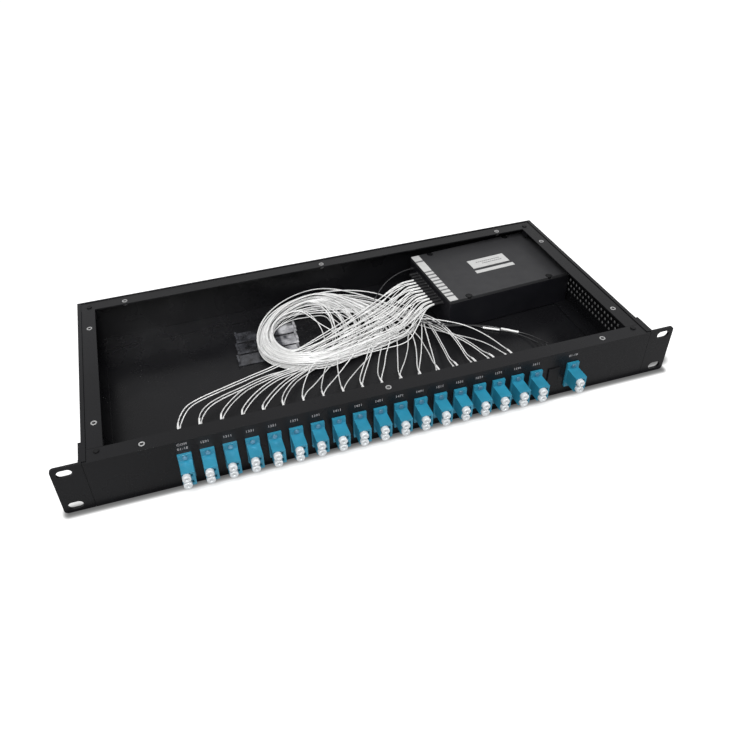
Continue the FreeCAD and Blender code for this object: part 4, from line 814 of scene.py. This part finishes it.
class MULTIPLEXER_OT_stage(bpy.types.Operator):
    """Lays the white floor, and places the camera and the soft lamps"""
    bl_idname = "multiplexer.stage"
    bl_label = "Stage"

    def execute(self, context):
        settings = context.scene.multiplexer_stage
        scene = context.scene
        scene.view_settings.view_transform = "Standard"
        self.add_camera(scene, settings)
        self.add_floor(scene)
        self.add_light(scene, settings)
        return {"FINISHED"}

    def add_camera(self, scene, settings):
        data = bpy.data.cameras.new("camera")
        data.sensor_width = 36.0
        data.lens = settings.lens
        data.shift_x = 0.0363
        data.shift_y = -0.0365
        data.clip_start, data.clip_end = 0.01, 50
        camera = bpy.data.objects.new("camera", data)
        scene.collection.objects.link(camera)
        right = (0.95630, -0.29066, -0.03189)
        up = (0.2018, 0.5771, 0.7913)
        back = (-0.21160, -0.76318, 0.61055)
        place = np.array([-140.25, -465.57, 396.89]) * MM
        camera.matrix_world = turned_to(right, up, back, place)
        scene.camera = camera

    def add_floor(self, scene):
        """A level sheet far wider than the view: z is constant over x and y."""
        reach = np.linspace(-4, 4, 9)
        x, y = np.meshgrid(reach, reach, indexing="ij")
        points = np.stack([x, y, np.full_like(x, -0.0004)], axis=-1).reshape(-1, 3)
        row, column = np.meshgrid(np.arange(8), np.arange(8), indexing="ij")
        corner = (row * 9 + column).ravel()
        faces = np.stack([corner, corner + 9, corner + 10, corner + 1], axis=1)
        mesh = bpy.data.meshes.new("floor")
        mesh.from_pydata(points.tolist(), [], faces.tolist())
        mesh.materials.append(self.white_floor())
        floor = bpy.data.objects.new("floor", mesh)
        scene.collection.objects.link(floor)

    def white_floor(self):
        """A matt white that also glows towards the camera, both less in a shadow painted round the
        chassis.
        """
        material = bpy.data.materials.new("white_floor")
        material.use_nodes = True
        tree = material.node_tree
        tree.nodes.clear()
        seen = self.seen_rays(tree, 0.25)
        # A painted shadow round the chassis, which dims both the floor's glow and its matte colour
        painted_shadow_share = self.painted_floor_shadow(tree)
        glow = tree.nodes.new("ShaderNodeEmission")
        glow.inputs["Color"].default_value = (0.75, 0.75, 0.75, 1)
        tree.links.new(combined(tree, "MULTIPLY", seen, painted_shadow_share), glow.inputs["Strength"])
        matte = tree.nodes.new("ShaderNodeBsdfDiffuse")
        tree.links.new(ramp(tree, painted_shadow_share, (0.06, 0.06, 0.06), (0.5, 0.5, 0.5)),
                       matte.inputs["Color"])
        both = tree.nodes.new("ShaderNodeAddShader")
        output = tree.nodes.new("ShaderNodeOutputMaterial")
        tree.links.new(glow.outputs[0], both.inputs[0])
        tree.links.new(matte.outputs[0], both.inputs[1])
        tree.links.new(both.outputs[0], output.inputs["Surface"])
        return material

    def painted_floor_shadow(self, tree):
        """A painted shadow: low under the chassis, to the right and behind it and along the front
        panel and the ears, and 1 farther out."""
        body = self.painted_shadow_block(tree, (0.0205, 0.0165), (0.2255, 0.1015), 0.018, 0.08)
        front = self.painted_shadow_block(tree, (0.001, -0.0978), (0.239, 0.0008), 0.01, 0.12)
        return combined(tree, "MINIMUM", body, front)

    def painted_shadow_block(self, tree, middle, half, edge_width, darkest):
        """A painted shadow, from darkest over a block of the floor to 1 beyond its soft edge: the
        distance outside the block is the length of max(|place - middle| - half, 0)."""
        source = tree.nodes.new("ShaderNodeTexCoord").outputs["Object"]
        steps = (("SUBTRACT", (*middle, 0)), ("ABSOLUTE", None), ("SUBTRACT", (*half, 0)),
                 ("MAXIMUM", (0, 0, 0)))
        for operation, value in steps:
            node = tree.nodes.new("ShaderNodeVectorMath")
            node.operation = operation
            tree.links.new(source, node.inputs[0])
            if value:
                node.inputs[1].default_value = value
            source = node.outputs["Vector"]
        length = tree.nodes.new("ShaderNodeVectorMath")
        length.operation = "LENGTH"
        tree.links.new(source, length.inputs[0])
        edge = tree.nodes.new("ShaderNodeMapRange")
        edge.interpolation_type = "SMOOTHSTEP"
        edge.inputs["From Max"].default_value = edge_width
        edge.inputs["To Min"].default_value = darkest
        tree.links.new(length.outputs["Value"], edge.inputs["Value"])
        return edge.outputs["Result"]

    def seen_rays(self, tree, reflected):
        """1 for camera rays, a share of it for glossy and transmission rays, and 0 for the rest."""
        path = tree.nodes.new("ShaderNodeLightPath")
        total = path.outputs["Is Camera Ray"]
        for ray in ("Is Glossy Ray", "Is Transmission Ray"):
            node = tree.nodes.new("ShaderNodeMath")
            node.operation = "MULTIPLY_ADD"
            node.use_clamp = True
            node.inputs[1].default_value = reflected
            tree.links.new(path.outputs[ray], node.inputs[0])
            tree.links.new(total, node.inputs[2])
            total = node.outputs[0]
        return total

    def add_light(self, scene, settings):
        world = bpy.data.worlds.new("soft_white")
        world.use_nodes = True
        tree = world.node_tree
        background = tree.nodes["Background"]
        background.inputs["Color"].default_value = (1, 1, 1, 1)
        strength = tree.nodes.new("ShaderNodeMapRange")
        strength.inputs["To Min"].default_value = settings.sky
        strength.inputs["To Max"].default_value = 1.0
        tree.links.new(self.seen_rays(tree, 1.0), strength.inputs["Value"])
        tree.links.new(strength.outputs["Result"], background.inputs["Strength"])
        scene.world = world
        self.add_lamp(scene, "soft_lamp", (-0.5, -0.9, 1.7), (0, 0, 0), 1.4, settings.lamp)
        self.add_lamp(scene, "side_lamp", (1.5, -0.8, 1.1), (0, 0, 0), 0.9, settings.lamp * 0.3)
        glint = self.add_lamp(scene, "camera_lamp", (-0.15, -0.5, 0.47), (-0.14, 0.08, 0), 0.12,
                              9.0)
        glint.visible_camera = False
        glint.visible_diffuse = False

    def add_lamp(self, scene, name, place, target, size, power):
        """A square lamp at a place, turned to a target, all in metres, with its power in watts."""
        data = bpy.data.lights.new(name, "AREA")
        data.size = size
        data.energy = power
        lamp = bpy.data.objects.new(name, data)
        scene.collection.objects.link(lamp)
        back = np.array(place, float) - np.array(target, float)
        back /= np.linalg.norm(back)
        right = np.cross([0, 0, 1], back)
        right /= np.linalg.norm(right)
        lamp.matrix_world = turned_to(right, np.cross(back, right), back, place)
        return lamp


OPERATORS = [
    MULTIPLEXER_OT_chassis,
    MULTIPLEXER_OT_fasteners,
    MULTIPLEXER_OT_adapters,
    MULTIPLEXER_OT_caps,
    MULTIPLEXER_OT_prints,
    MULTIPLEXER_OT_module,
    MULTIPLEXER_OT_fibres,
    MULTIPLEXER_OT_dark_fibres,
    MULTIPLEXER_OT_clips,
    MULTIPLEXER_OT_stage,
]


class MULTIPLEXER_PT_panel(bpy.types.Panel):
    """Lists the pieces and the stage"""
    bl_idname = "MULTIPLEXER_PT_panel"
    bl_label = "Multiplexer"
    bl_space_type = "VIEW_3D"
    bl_region_type = "UI"
    bl_category = "Multiplexer"

    def draw(self, context):
        for group in ("multiplexer_finish", "multiplexer_fibres", "multiplexer_stage"):
            settings = getattr(context.scene, group)
            for name in settings.__annotations__:
                self.layout.prop(settings, name)
        for operator in OPERATORS:
            self.layout.operator(operator.bl_idname)


CLASSES = [FinishSettings, FibreSettings, StageSettings, *OPERATORS, MULTIPLEXER_PT_panel]


def register():
    for item in CLASSES:
        bpy.utils.register_class(item)
    bpy.types.Scene.multiplexer_finish = PointerProperty(type=FinishSettings)
    bpy.types.Scene.multiplexer_fibres = PointerProperty(type=FibreSettings)
    bpy.types.Scene.multiplexer_stage = PointerProperty(type=StageSettings)


def unregister():
    del bpy.types.Scene.multiplexer_stage
    del bpy.types.Scene.multiplexer_fibres
    del bpy.types.Scene.multiplexer_finish
    for item in reversed(CLASSES):
        bpy.utils.unregister_class(item)


def main():
    register()
    bpy.ops.multiplexer.chassis()
    bpy.ops.multiplexer.fasteners()
    bpy.ops.multiplexer.adapters()
    bpy.ops.multiplexer.caps()
    bpy.ops.multiplexer.prints()
    bpy.ops.multiplexer.module()
    bpy.ops.multiplexer.fibres()
    bpy.ops.multiplexer.dark_fibres()
    bpy.ops.multiplexer.clips()
    bpy.ops.multiplexer.stage()


if __name__ == "__main__":
    main()
